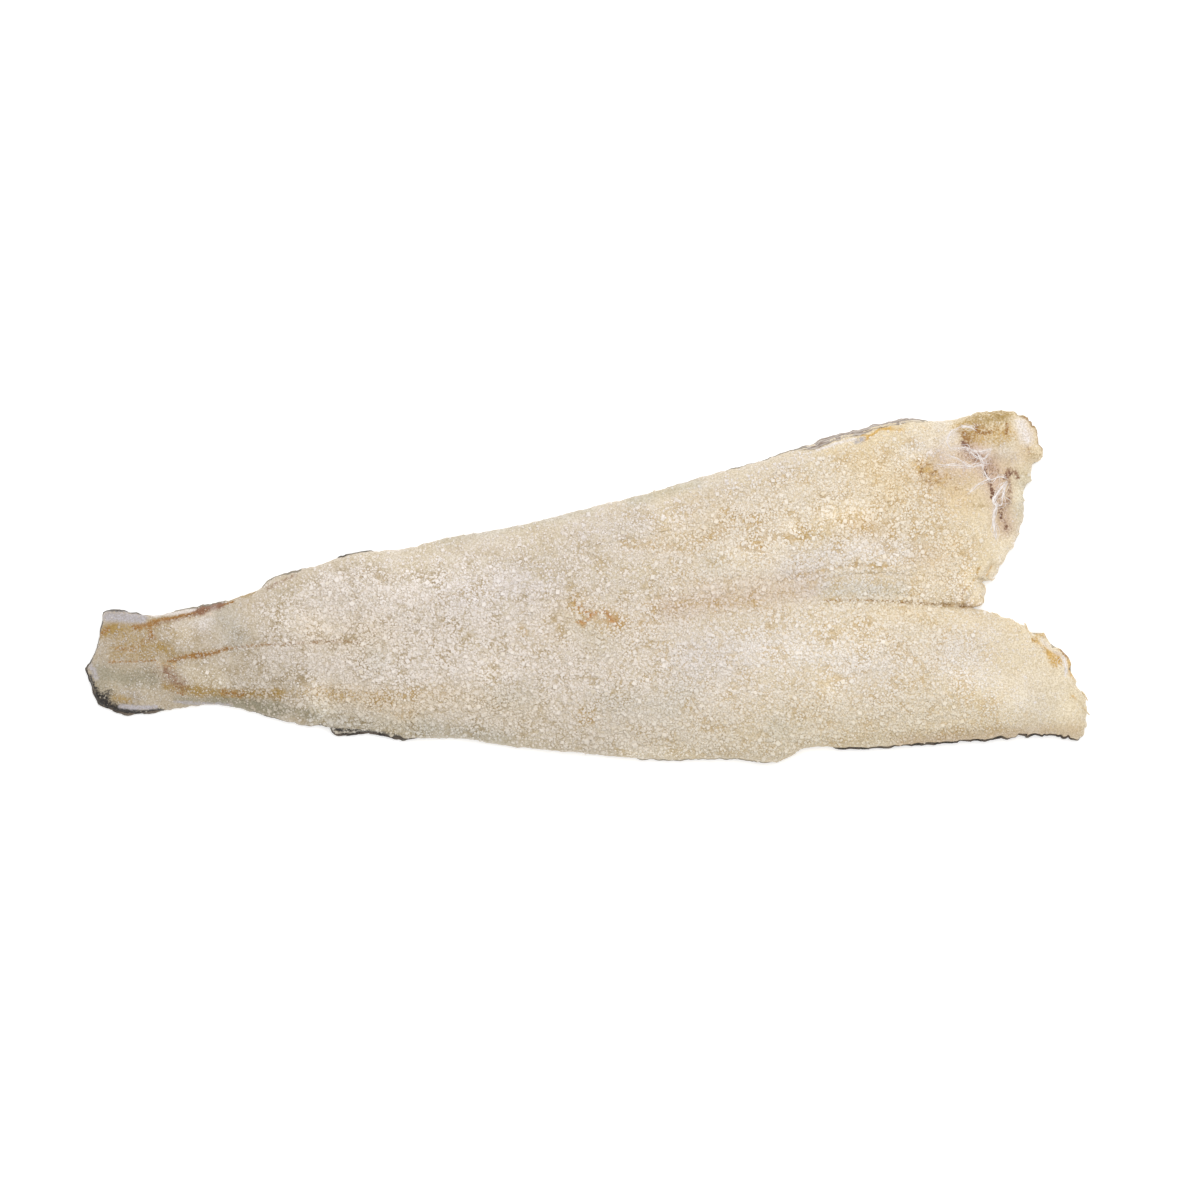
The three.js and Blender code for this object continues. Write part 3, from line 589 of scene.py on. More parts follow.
def flesh_height(side, u, s, x, y):
    """Thin at the flank, crowned at the loin, with the seam's groove and the backbone's bed."""
    from_seam = (1 - s) * side.width(u)
    level = (along(NAPE_LOIN, u) + along(PLAIN_LOIN, u)) / 2
    loin, flank = along(side.loin, u), along(side.flank, u)
    loin = loin + (level - loin) * np.exp(-(from_seam / LEVEL_REACH) ** 2)
    groove = along(SEAM_DEPTH, u) * np.exp(-(from_seam / SEAM_HALF_WIDTH) ** 2)
    height = flank + (loin - flank) * smooth(-0.25, LOIN_PLACE, s) - groove + wave(x, y)
    if side.has_nape:
        in_bed = smooth(BED_FROM, BED_FROM + 0.1, u) * smooth(BED_TO, BED_TO - 0.05, u)
        in_bed = in_bed * smooth(0, SEAM_HALF_WIDTH, from_seam)
        height -= BED_DEPTH * in_bed * smooth(BED_WIDTH + BED_BRINK, BED_WIDTH, from_seam)
        for (cx, cy), radius, lump in NAPE_RELIEF:
            height += lump * np.exp(-((x - cx) ** 2 + (y - cy) ** 2) / radius ** 2)
        height += flake_drop(x, y)
    return height


def salted(x, y, inside):
    """How thickly the salt lies, from 0 to 1: dense over the middle, sparse at the ends and edges."""
    cover = smooth(-285, -120, x) * 0.75 + 0.25
    cover = cover * (1 - 0.75 * smooth(176, 205, x) * smooth(20, 42, y))
    cover = cover * (1 - 0.7 * smooth(205, 216, x) * smooth(-14, 0, y))
    cover = cover * (1 - 0.72 * smooth(195, 240, x + 0.35 * y) * smooth(0, -20, y))
    cover = cover * (0.45 + 0.55 * smooth(1, 9, inside)) * (1 - close_to(x, y, SKIN_CURL, 5))
    cover = cover * (0.35 + 0.65 * smooth(2, 14 + 10 * smooth(0, 60, x), distance_to(x, y, NAPE_EDGE)))
    for line, half_width, strength in SALT_GAPS:
        cover = cover * (1 - strength * close_to(x, y, line, half_width))
    for line, half_width, strength in SALT_DRIFTS:
        cover = cover + strength * close_to(x, y, line, half_width)
    patches = 0.85 + 0.3 * lattice(x, y, 19, 3) + 0.25 * lattice(x, y, 7, 4)
    return np.clip(cover * patches, 0.02, 1)


def clump(x, y):
    """Where the crust gathers in clumps, from -1 in the gaps to 1 in the clumps."""
    return 0.3 * lattice(x, y, 4.2, 15) + 0.7 * lattice(x, y, 2.1, 16)


def fibres(x, y):
    """Muscle fibres laid bare at the cut ends, from 0 to 1 in place and -1 to 1 in height."""
    at_nape_lobe = smooth(204, 216, x) * smooth(52, 40, y) * smooth(-12, -4, y)
    at_plain_lobe = smooth(232, 256, x) * smooth(-20, -30, y)
    lean = x - 0.32 * y
    return np.maximum(at_nape_lobe, at_plain_lobe), lattice(lean, y * 0.09, 0.9, 8)


def fine_relief(x, y, inside):
    crust = salted(x, y, inside)
    lumps = 0.55 * clump(x, y) + 0.2 * lattice(x, y, 1.4, 12)
    place, height = fibres(x, y)
    relief = crust * lumps + (1 - crust) * (0.28 * lattice(x, y, 5, 13) + 0.1 * lattice(x, y, 1.6, 14))
    relief = relief + 0.32 * place * height
    for line, half_width, depth in CREASES:
        relief = relief - depth * close_to(x, y, line, half_width)
    return relief


def roughen(points, inside):
    """Shifts rows of points a little near the outline, and gives their places before that."""
    x, y = points[..., 0].copy(), points[..., 1].copy()
    near = np.exp(-(inside / 3.5) ** 2)
    torn = 0.5 + 0.9 * smooth(195, 240, x)
    for axis, seed in ((0, 21), (1, 31)):
        shift = 0.8 * lattice(x, y, 3.1, seed) + 0.5 * lattice(x, y, 1.4, seed + 1)
        points[..., axis] += near * torn * shift
    return x, y


# Meshes
every_edge = NAPE_EDGE, PLAIN_EDGE, NAPE_TAIL_END, PLAIN_TAIL_END, NAPE_HEAD_END, PLAIN_HEAD_END
outline = np.vstack([curve_through(line)(np.linspace(0, 1, 400)) for line in every_edge])
CENTRE = (outline.min(0) + outline.max(0)) / 2


def piece_from(name, points, faces):
    """A mesh piece from points in mm, which rides on the fish and stands for its solid."""
    points = np.array(points, float)
    points[:, :2] -= CENTRE
    mesh = bpy.data.meshes.new(name)
    mesh.from_pydata((points * MM).tolist(), [], np.asarray(faces).tolist())
    mesh.validate()
    piece = bpy.data.objects.new(name, mesh)
    bpy.context.scene.collection.objects.link(piece)
    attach(piece, "root")
    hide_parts("salt_cod")
    return piece


def carry(piece, name, values):
    """Keeps one value for each of the mesh's points, for its material to read."""
    attribute = piece.data.attributes.new(name, "FLOAT", "POINT")
    attribute.data.foreach_set("value", np.asarray(values, np.float32).ravel())


def stain(x, y, marks):
    """How strongly a stain lies at each place, from 0 to 1."""
    clear = np.ones(np.shape(x))
    for line, half_width, strength in marks:
        clear *= 1 - strength * close_to(x, y, line, half_width)
    return 1 - clear


def carry_stains(piece, x, y, each=np.asarray):
    """Keeps stains, washes and the plain lobe's darker edge (painted shade of its rounded edge, partly
    its greyer tone), spread over a grain's points by each.
    """
    for name, marks in STAINS.items():
        carry(piece, name, each(stain(x, y, marks)))
    for name, (_, marks) in WASHES.items():
        carry(piece, name, each(stain(x, y, marks)))
    # the flesh darker towards the plain lobe's edge: painted shade of the rounded edge, partly a greyer
    # tone
    carry(piece, "dull_and_shaded_edge", each(smooth(42, 3, distance_to(x, y, PLAIN_EDGE))))


def grid_faces(rows, columns):
    first = (np.arange(rows - 1)[:, None] * columns + np.arange(columns - 1)).ravel()
    return np.stack([first, first + columns, first + columns + 1, first + 1], -1)


def across(nape_steps, plain_steps):
    """Each lobe with its places, from the nape lobe's free edge over the seam to the other."""
    return (NAPE_LOBE, crowded(nape_steps, 0.6)), (PLAIN_LOBE, 1 - crowded(plain_steps, 0.6)[1:])


def surface(u, sides, height):
    """Rows of points over both lobes, and how far each is inside the outline."""
    points, insides = [], []
    for side, s in sides:
        uu, ss = np.meshgrid(u, s, indexing="ij")
        plan = side.plan(uu, ss)
        inside = side.inside(uu, ss)
        z = height(side, uu, ss, plan[..., 0], plan[..., 1], inside)
        points.append(np.dstack([plan, z]))
        insides.append(inside)
    return np.concatenate(points, 1), np.concatenate(insides, 1)


def top_height(side, u, s, x, y, inside):
    body = flesh_height(side, u, s, x, y)
    rise = side.risen(u, s, RIM_RADIUS)
    edge = EDGE_UNDER + 0.6 + (EDGE_TOP - EDGE_UNDER - 0.6) * smooth(0, 1.4, inside)
    height = edge + (body - edge) * rise + fine_relief(x, y, inside) * smooth(0, 2, inside)
    return np.maximum(height, EDGE_UNDER + 0.4)


def make_flesh():
    points, inside = surface(crowded(600, 0.5), across(86, 68), top_height)
    x, y = roughen(points, inside)
    rows, columns = x.shape
    top, rim = points.reshape(-1, 3), rim_of(rows, columns)
    drop = top[rim, 2] - EDGE_UNDER + 0.3
    skirt = top[rim] - np.column_stack([outward(top[rim, :2]) * SKIRT_INSET, drop])
    below = len(top) + np.arange(len(rim))
    side = np.stack([rim, np.roll(rim, -1), np.roll(below, -1), below], -1)
    faces = np.vstack([grid_faces(rows, columns)[:, ::-1], side])
    piece = piece_from("flesh", np.vstack([top, skirt]), faces)
    x, y, inside = [np.append(values.ravel(), values.ravel()[rim]) for values in (x, y, inside)]
    carry_stains(piece, x, y)
    carry(piece, "inside", inside)
    carry(piece, "crust", salted(x, y, inside))
    carry(piece, "clump", clump(x, y))
    carry(piece, "seep", stain(x, y, SEEPS))
    carry(piece, "fibre", fibres(x, y)[0])
    return piece


def under_height(side, u, s, x, y, inside):
    uneven = 0.15 * (1 + lattice(x, y, 9, 41)) * smooth(0, 6, inside)
    return EDGE_UNDER * (1 - side.risen(u, s, UNDERSIDE_RADIUS)) + uneven


def rim_of(rows, columns):
    """The grid's rim, clockwise from above: nape lobe's edge, head end, plain lobe's edge, tail."""
    index = np.arange(rows * columns).reshape(rows, columns)
    return np.concatenate([index[:-1, 0], index[-1, :-1], index[:0:-1, -1], index[0, :0:-1]])


def outward(rim):
    """The direction out of a clockwise loop of points, level with the surface under the fish."""
    ahead = np.roll(rim, -2, 0) - np.roll(rim, 2, 0)
    out = np.stack([-ahead[:, 1], ahead[:, 0]], -1)
    return out / np.maximum(np.linalg.norm(out, axis=1, keepdims=True), 1e-6)


def skin_shown(x, y, value):
    """The largest of the listed edges' values at each place: 0 for how far, 1 for how dark."""
    shown = np.zeros(np.shape(x))
    for line, half_width, reach, dark in SKIN_EDGES:
        shown = np.maximum(shown, (reach, dark)[value] * close_to(x, y, line, half_width))
    return shown


def lip_rings(flat, rim, on_flesh):
    """Draws the skin's rim in where the flesh hides it, and gives the rings of points of its lip."""
    out = outward(flat[rim, :2])
    x, y = flat[rim, :2].T
    shown = skin_shown(x, y, 0)
    flat[rim, :2] -= out * (SKIN_INSET * (1 - np.minimum(shown * 1.6, 1)))[:, None]
    edge = flat[rim]
    reach = shown * (0.9 + 0.6 * lattice(x, y, 4, 51))
    stands = 0.1 + 0.8 * shown
    curl = close_to(x, y, SKIN_CURL, 7) * (0.75 + 0.35 * lattice(x, y, 6, 52))
    curls = curl > LEAST_CURL
    rings = []
    for past, up in ((1, 0.4), (0.85, 1)):
        xy = edge[:, :2] + out * (reach * past)[:, None]
        rings.append(np.column_stack([xy, edge[:, 2] + up * stands]))
    for share in (0.35, 1):
        xy = edge[:, :2] - out * (share * np.where(curls, CURL_REACH * curl, 0.5))[:, None]
        rest = np.array([on_flesh(px, py)[0] for px, py in xy])
        z = np.where(curls, rest + 0.5 * curl, edge[:, 2] + 1.1 * stands)
        rings.append(np.column_stack([xy, z]))
    return rings


def make_skin(on_flesh):
    """The skin under the fish: its lip shows along the edge, and curls over the flesh in one place."""
    points, inside = surface(crowded(600, 0.5), across(34, 28), under_height)
    roughen(points, inside)
    rows, columns = inside.shape
    flat, rim = points.reshape(-1, 3), rim_of(rows, columns)
    rings = lip_rings(flat, rim, on_flesh)
    loops = [rim] + [len(flat) + np.arange(len(rim)) + r * len(rim) for r in range(len(rings))]
    faces = [grid_faces(rows, columns)]
    for low, high in zip(loops, loops[1:]):
        faces.append(np.stack([low, high, np.roll(high, -1), np.roll(low, -1)], -1))
    everything = np.vstack([flat, *rings])
    piece = piece_from("skin", everything, np.vstack(faces))
    carry_skin(piece, everything, inside, rim, len(rings))
    return piece


def carry_skin(piece, points, inside, rim, rings):
    """Keeps where the skin is dark, where its lateral lines run, and where its lip and curl are."""
    x, y = points[:, 0], points[:, 1]
    depth = np.concatenate([inside.ravel(), np.zeros(len(rim) * rings)])
    from_back = distance_to(x, y, SEAM)
    back = smooth(0, 14, depth) * smooth(75, 20, from_back + 6 * lattice(x, y, 22, 53))
    dark = np.maximum(skin_shown(x, y, 1) * smooth(8, 2, depth), back)
    carry(piece, "dark", np.maximum(dark, smooth(-190, -235, x) * 0.85 * smooth(0, 5, depth)))
    line_place = 30 + 8 * smooth(0, 150, x)
    half = np.minimum(line_place, 0.55 * (distance_to(x, y, SEAM) + depth))
    carry(piece, "lateral", np.exp(-((from_back - half) / 1.1) ** 2) * smooth(3, 12, depth))
    carry(piece, "lip", smooth(1.5, 0, depth))
    carry(piece, "curl", np.minimum(1, 2 * close_to(x, y, SKIN_CURL, 4)) * smooth(3, 0.5, depth))


def base_crystal(kind):
    """Points and triangles of a crystal of unit half size: a cut cube, lump, chip or splinter."""
    mesh = bmesh.new()
    if kind == "splinter":
        for axis, side in itertools.product(range(3), (-1.1, 1.1)):
            mesh.verts.new([side if i == axis else 0 for i in range(3)])
        bmesh.ops.convex_hull(mesh, input=mesh.verts)
    elif kind == "lump":
        bmesh.ops.create_icosphere(mesh, subdivisions=1, radius=1.1)
    elif kind == "chip":
        bmesh.ops.create_cube(mesh, size=1.8)
        bmesh.ops.triangulate(mesh, faces=mesh.faces)
    else:
        for corner in itertools.product((-1, 1), repeat=3):
            for cut in range(3):
                mesh.verts.new([c * (0.72 if axis == cut else 1) for axis, c in enumerate(corner)])
        bmesh.ops.convex_hull(mesh, input=mesh.verts)
        bmesh.ops.triangulate(mesh, faces=mesh.faces)
    mesh.verts.index_update()
    points = np.array([v.co[:] for v in mesh.verts])
    faces = np.array([[v.index for v in f.verts] for f in mesh.faces])
    mesh.free()
    return points, faces


def honeycomb(spacing, rng):
    """Places over the whole fish, evenly spread and shaken."""
    far_x, far_y = SALT_REACH
    x, y = np.meshgrid(np.arange(-far_x, far_x, spacing), np.arange(-far_y, far_y, spacing * ROW_SHARE))
    x[1::2] += spacing / 2
    x = (x + rng.uniform(-0.45, 0.45, x.shape) * spacing).ravel()
    y = (y + rng.uniform(-0.45, 0.45, y.shape) * spacing).ravel()
    order = rng.permutation(len(x))
    return x[order], y[order]


def turned(rng, count):
    """Random rotation matrices."""
    q = rng.normal(size=(count, 4))
    w, x, y, z = (q / np.linalg.norm(q, axis=1, keepdims=True)).T
    return np.stack([
        1 - 2 * (y * y + z * z), 2 * (x * y - z * w), 2 * (x * z + y * w),
        2 * (x * y + z * w), 1 - 2 * (x * x + z * z), 2 * (y * z - x * w),
        2 * (x * z - y * w), 2 * (y * z + x * w), 1 - 2 * (x * x + y * y),
    ], -1).reshape(-1, 3, 3)


def make_salt(name, kind, sizes, cover, roughened, on_flesh, seed):
    """Crystals of one size, strewn where the salt lies and half sunk in the flesh."""
    rng = np.random.default_rng(seed)
    spacing, least, most, stands, limit = sizes
    x, y = honeycomb(spacing, rng)
    z, inside = np.array([on_flesh(px, py) for px, py in zip(x, y)]).T
    chance = cover(salted(x, y, inside)) * (0.2 + 1.1 * smooth(-0.45, 0, clump(x, y)))
    chance *= 1 - 0.5 * stain(x, y, SEEPS)
    lies = (inside > 0.3) & (rng.uniform(size=len(x)) < chance)
    places = np.column_stack([x, y, z])[lies][:limit]
    count = len(places)
    half = 0.5 * (least + (most - least) * rng.uniform(size=count) ** 1.6)
    half *= 0.72 + 0.28 * smooth(-230, -130, places[:, 0]) * smooth(236, 196, places[:, 0])
    points, faces = base_crystal(kind)
    grains = points[None] * (1 + roughened * rng.uniform(-1, 1, (count, len(points), 1)))
    grains = grains * rng.uniform(0.75, 1.1, (count, 1, 3)) * half[:, None, None]
    grains = np.einsum("nij,nkj->nki", turned(rng, count), grains) + places[:, None]
    grains[..., 2] += (stands * 2 * half)[:, None]
    grains[..., 2] += np.maximum(0.1 - grains[..., 2].min(1), 0)[:, None]
    every_face = (faces[None] + np.arange(count)[:, None, None] * len(points)).reshape(-1, 3)
    piece = piece_from(name, grains.reshape(-1, 3), every_face)
    each = lambda values: np.repeat(values, len(points))
    carry_stains(piece, places[:, 0], places[:, 1], each)
    carry(piece, "clear", each(rng.uniform(size=count)))
    return piece


def tube(line, radius, on_flesh, rng):
    """A thread laid over the flesh along a line, thin at its ends."""
    curve = curve_through(line)
    length = sum(math.dist(a, b) for a, b in zip(line, line[1:]))
    t = np.linspace(0, 1, max(8, int(length / 0.6)))
    xy = curve(t)
    phase = rng.uniform(0, 6, 2)
    sway = [np.sin(t * length / 1.9 + phase[0]), np.cos(t * length / 2.3 + phase[1])]
    xy = xy + 0.3 * np.stack(sway, -1)
    z = np.array([on_flesh(px, py)[0] for px, py in xy])
    z = np.maximum(z, np.convolve(np.pad(z, 3, "edge"), np.ones(7) / 7, "valid")) + 0.3 * radius
    z = np.maximum(z, EDGE_UNDER + radius)
    ahead = np.gradient(np.column_stack([xy, z]), axis=0)
    ahead /= np.linalg.norm(ahead, axis=1, keepdims=True)
    side = np.cross(ahead, (0, 0, 1))
    side /= np.linalg.norm(side, axis=1, keepdims=True)
    up = np.cross(side, ahead)
    uneven = 1 + 0.25 * np.sin(t * length / 1.3 + phase[1])
    thick = radius * (0.25 + 0.75 * np.sin(np.pi * t) ** 0.5) * uneven
    turns = (np.arange(TUBE_SIDES) * 2 * math.pi / TUBE_SIDES)[:, None]
    ring = side[:, None] * np.cos(turns) + 0.7 * up[:, None] * np.sin(turns)
    points = (np.column_stack([xy, z])[:, None] + ring * thick[:, None, None]).reshape(-1, 3)
    corner, station = np.arange(TUBE_SIDES), np.arange(len(t) - 1)[:, None] * TUBE_SIDES
    first = (station + corner).ravel()
    other = (station + (corner + 1) % TUBE_SIDES).ravel()
    return points, np.stack([first, other, other + TUBE_SIDES, first + TUBE_SIDES], -1)


def joined(tubes, name):
    """One piece of many tubes."""
    starts = np.cumsum([0] + [len(points) for points, _ in tubes])
    faces = np.vstack([f + start for (_, f), start in zip(tubes, starts)])
    return piece_from(name, np.vstack([points for points, _ in tubes]), faces)


def make_tissue(on_flesh):
    """The web of white tissue over the cut nape, each thread with thinner ones beside it."""
    rng = np.random.default_rng(61)
    tubes = []
    for line, radius in STRANDS:
        for thin, stray in THREADS:
            shifted = [tuple(np.array(place) + rng.normal(0, stray, 2)) for place in line]
            tubes.append(tube(shifted, radius * thin, on_flesh, rng))
    return joined(tubes, "tissue")


def make_fringe(on_flesh):
    """Torn fibres that stick out of the cut ends."""
    rng = np.random.default_rng(62)
    return joined([tube(line, radius, on_flesh, rng) for line, radius in FRINGES], "fringe")


# Materials
def tone(red, green, blue):
    """A colour as a painter names it, from 0 to 255, for the shader."""
    linear = [((c / 255 + 0.055) / 1.055) ** 2.4 if c > 10 else c / 3294 for c in (red, green, blue)]
    return (*linear, 1)


class Nodes:
    """Adds nodes to one material or group, and joins them."""

    def __init__(self, tree):
        self.tree = tree

    def add(self, kind, settings=None, **sockets):
        node = self.tree.nodes.new("ShaderNode" + kind)
        for key, value in (settings or {}).items():
            setattr(node, key, value)
        for key, value in sockets.items():
            place = int(key[1:]) if key[1:].isdigit() else key.replace("_", " ")
            self.feed(node.inputs[place], value)
        return node

    def feed(self, socket, value):
        if isinstance(value, bpy.types.NodeSocket):
            self.tree.links.new(value, socket)
        else:
            socket.default_value = value

    def math(self, operation, a, b):
        return self.add("Math", {"operation": operation}, _0=a, _1=b).outputs[0]

    def times(self, a, b):
        return self.math("MULTIPLY", a, b)

    def plus(self, a, b):
        return self.math("ADD", a, b)

    def less(self, a, b):
        return self.math("SUBTRACT", a, b)

    def most(self, a, b):
        return self.math("MAXIMUM", a, b)

    def mix(self, share, low, high, blend="MIX"):
        node = self.add("Mix", {"data_type": "RGBA", "blend_type": blend})
        self.feed(node.inputs[0], share)
        self.feed(node.inputs[6], low)
        self.feed(node.inputs[7], high)
        return node.outputs[2]

    def ramp(self, value, low, high, start=0.0, end=1.0):
        return self.add("MapRange", {"interpolation_type": "SMOOTHSTEP"}, Value=value, From_Min=low,
                        From_Max=high, To_Min=start, To_Max=end).outputs[0]

    def noise(self, where, size_mm, detail=3.0, rough=0.55):
        return self.add("TexNoise", None, Vector=where, Scale=1000 / size_mm, Detail=detail,
                        Roughness=rough).outputs["Fac"]

    def carried(self, name):
        return self.add("Attribute", {"attribute_name": name}).outputs["Fac"]

    def stops(self, share, tones):
        """A colour that passes through (place in mm, tone) stops from the tail to the head end."""
        node = self.add("ValToRGB", None, Fac=share)
        elements = node.color_ramp.elements
        elements.remove(elements[1])
        for number, (place, colour) in enumerate(tones):
            position = (place + HALF_LENGTH) / (2 * HALF_LENGTH)
            element = elements.new(position) if number else elements[0]
            element.position, element.color = position, tone(*colour)
        return node.outputs["Color"]


# Colours of the fish from the tail to the head end: the bare flesh, the salt and the gaps in the crust.
# Their darkening towards the tail is partly the fish's own tone and partly painted shade of light falling
# off towards the tail.
HALF_LENGTH = 276
FLESH_TONES = [
    (-276, (175, 157, 129)), (-215, (186, 170, 145)), (-120, (204, 190, 166)), (20, (208, 194, 168)),
    (120, (220, 202, 168)), (276, (226, 208, 172)),
]
SALT_TONES = [
    (-276, (206, 197, 186)), (-190, (220, 211, 202)), (-110, (232, 224, 217)), (0, (230, 221, 212)),
    (120, (234, 225, 211)), (276, (238, 228, 211)),
]
# The gaps' tones, darker than the salt and the flesh, are painted shade in the crevices between clumps,
# with the flesh's own tone showing through.
SHADED_GAP_TONES = [
    (-276, (146, 126, 92)), (-120, (174, 154, 122)), (0, (184, 162, 124)), (60, (202, 178, 138)),
    (276, (212, 184, 138)),
]
# The tint of the plain lobe's edge: painted shade of the rounded edge, partly its greyer tone.
SHADED_EDGE_TINT = tone(242, 241, 236)
WEAK_SEEP_TONE, SEEP_TONE = tone(188, 154, 92), tone(182, 128, 66)
DARK_SPECKLE, BRIGHT_SPECKLE = tone(232, 228, 220), tone(268, 270, 274)
# Each stain's tone, and how much the grain breaks it up.
STAIN_TONES = {
    "grey": (tone(152, 144, 122), 0.5),
    "ochre": (tone(164, 134, 74), 0.6),
    "amber": (tone(206, 166, 92), 0.6),
    "rust": (tone(154, 110, 50), 0.8),
    "blood": (tone(132, 92, 64), 0.7),
    "bruise": (tone(108, 66, 38), 1.2),
    "black": (tone(30, 23, 18), 0.8),
    "pearl": (tone(178, 172, 174), 0.5),
    "membrane": (tone(228, 221, 218), 0.35),
}
CLUMP_SIZE, CRYSTAL_SIZE = 3.1, 1.6
SEEP_WIDENS = 0.12
FIBRE_ANGLE, STRIPE_ANGLE = -0.31, 0.22
SCALE_SIZE = 1.9


def make_body_tones():
    """A group that gives the colours of the flesh, the salt and the gaps at each place; the gaps' colour
    is painted shade in the crevices, with the flesh's own tone showing through.
    """
    group = bpy.data.node_groups.new("body_tones", "ShaderNodeTree")
    group.interface.new_socket("Where", in_out="INPUT", socket_type="NodeSocketVector")
    tints = {"dull_and_shaded_edge": SHADED_EDGE_TINT}
    for name, (left, _) in WASHES.items():
        tints[name] = tone(*(255 * share for share in left))
    for name in tints:
        group.interface.new_socket(name, in_out="INPUT", socket_type="NodeSocketFloat")
    result = group.nodes.new("NodeGroupOutput")
    n = Nodes(group)
    given = group.nodes.new("NodeGroupInput").outputs
    x = n.add("SeparateXYZ", None, Vector=given["Where"]).outputs["X"]
    half = HALF_LENGTH * MM
    share = n.add("MapRange", None, Value=x, From_Min=-half, From_Max=half).outputs[0]
    for name, tones in (("Flesh", FLESH_TONES), ("Salt", SALT_TONES), ("ShadedGap", SHADED_GAP_TONES)):
        group.interface.new_socket(name, in_out="OUTPUT", socket_type="NodeSocketColor")
        colour = n.stops(share, tones)
        for wash, tint in tints.items():
            colour = n.mix(given[wash], colour, n.mix(1.0, colour, tint, "MULTIPLY"))
        group.links.new(colour, result.inputs[name])
    return group


def make_staining():
    """A group that lays the fish's stains over a colour, each broken up by a grain."""
    group = bpy.data.node_groups.new("staining", "ShaderNodeTree")
    group.interface.new_socket("Plain", in_out="INPUT", socket_type="NodeSocketColor")
    group.interface.new_socket("Where", in_out="INPUT", socket_type="NodeSocketVector")
    group.interface.new_socket("Strength", in_out="INPUT", socket_type="NodeSocketFloat")
    for name in STAIN_TONES:
        group.interface.new_socket(name, in_out="INPUT", socket_type="NodeSocketFloat")
    group.interface.new_socket("Color", in_out="OUTPUT", socket_type="NodeSocketColor")
    n = Nodes(group)
    given = group.nodes.new("NodeGroupInput").outputs
    grain = n.ramp(n.noise(given["Where"], 1.2, 4, 0.7), 0.32, 0.68, -0.4, 0.4)
    broken = n.plus(grain, n.ramp(n.noise(given["Where"], 7, 3), 0.3, 0.7, -0.1, 0.1))
    colour = given["Plain"]
    for name, (stain_tone, breaks) in STAIN_TONES.items():
        bias = n.times(broken, n.ramp(given[name], 0, 0.3, 0, breaks))
        spread = n.ramp(n.plus(given[name], bias), 0.12, 0.95)
        colour = n.mix(n.times(spread, given["Strength"]), colour, stain_tone)
    result = group.nodes.new("NodeGroupOutput")
    group.links.new(colour, result.inputs["Color"])
    return group


def stained(n, group, plain, where, strength):
    """A plain colour with the fish's stains over it."""
    node = n.add("Group", {"node_tree": group}, Plain=plain, Where=where, Strength=strength)
    for name in STAIN_TONES:
        n.feed(node.inputs[name], n.carried(name))
    return node.outputs["Color"]


def new_material(name):
    """An empty material, its nodes and the places on the fish."""
    material = bpy.data.materials.new(name)
    material.use_nodes = True
    material.node_tree.nodes.clear()
    n = Nodes(material.node_tree)
    where = n.add("TexCoord").outputs["Object"]
    return material, n, where


def finished(n, colour, roughness, height, depth_mm, **constants):
    """Makes a material's surface from a colour, a roughness and a height for its bumps."""
    shader = n.add("BsdfPrincipled", None, **constants)
    n.feed(shader.inputs["Base Color"], colour)
    n.feed(shader.inputs["Roughness"], roughness)
    bump = n.add("Bump", None, Height=height, Distance=depth_mm * MM, Strength=1.0)
    n.feed(shader.inputs["Normal"], bump.outputs[0])
    out = n.add("OutputMaterial")
    n.feed(out.inputs["Surface"], shader.outputs[0])


def body_tones(n, group, where):
    """The colours of the flesh, the salt and the gaps, with the washes over them, some of them painted
    shade and light.
    """
    node = n.add("Group", {"node_tree": group}, Where=where)
    for name in ("dull_and_shaded_edge", *WASHES):
        n.feed(node.inputs[name], n.carried(name))
    return node.outputs


def from_gaps(n, where, size_mm):
    """How far each place is from the gap between two uneven crystals of a size, from 0 in the gap."""
    scale = 1000 / size_mm
    shaken = n.add("TexNoise", None, Vector=where, Scale=scale, Detail=3).outputs["Color"]
    by = [0.9 * size_mm * MM] * 3
    bent = n.add("VectorMath", {"operation": "MULTIPLY_ADD"}, _0=shaken, _1=by, _2=where).outputs[0]
    cells = n.add("TexVoronoi", {"feature": "DISTANCE_TO_EDGE"}, Vector=bent, Scale=scale)
    return cells.outputs["Distance"]


def lengthwise(n, where, angle, stretch):
    """Places for a texture that is turned by an angle and then stretched along its own axes."""
    kind = {"vector_type": "TEXTURE"}
    return n.add("Mapping", kind, Vector=where, Rotation=(0, 0, angle), Scale=stretch).outputs[0]


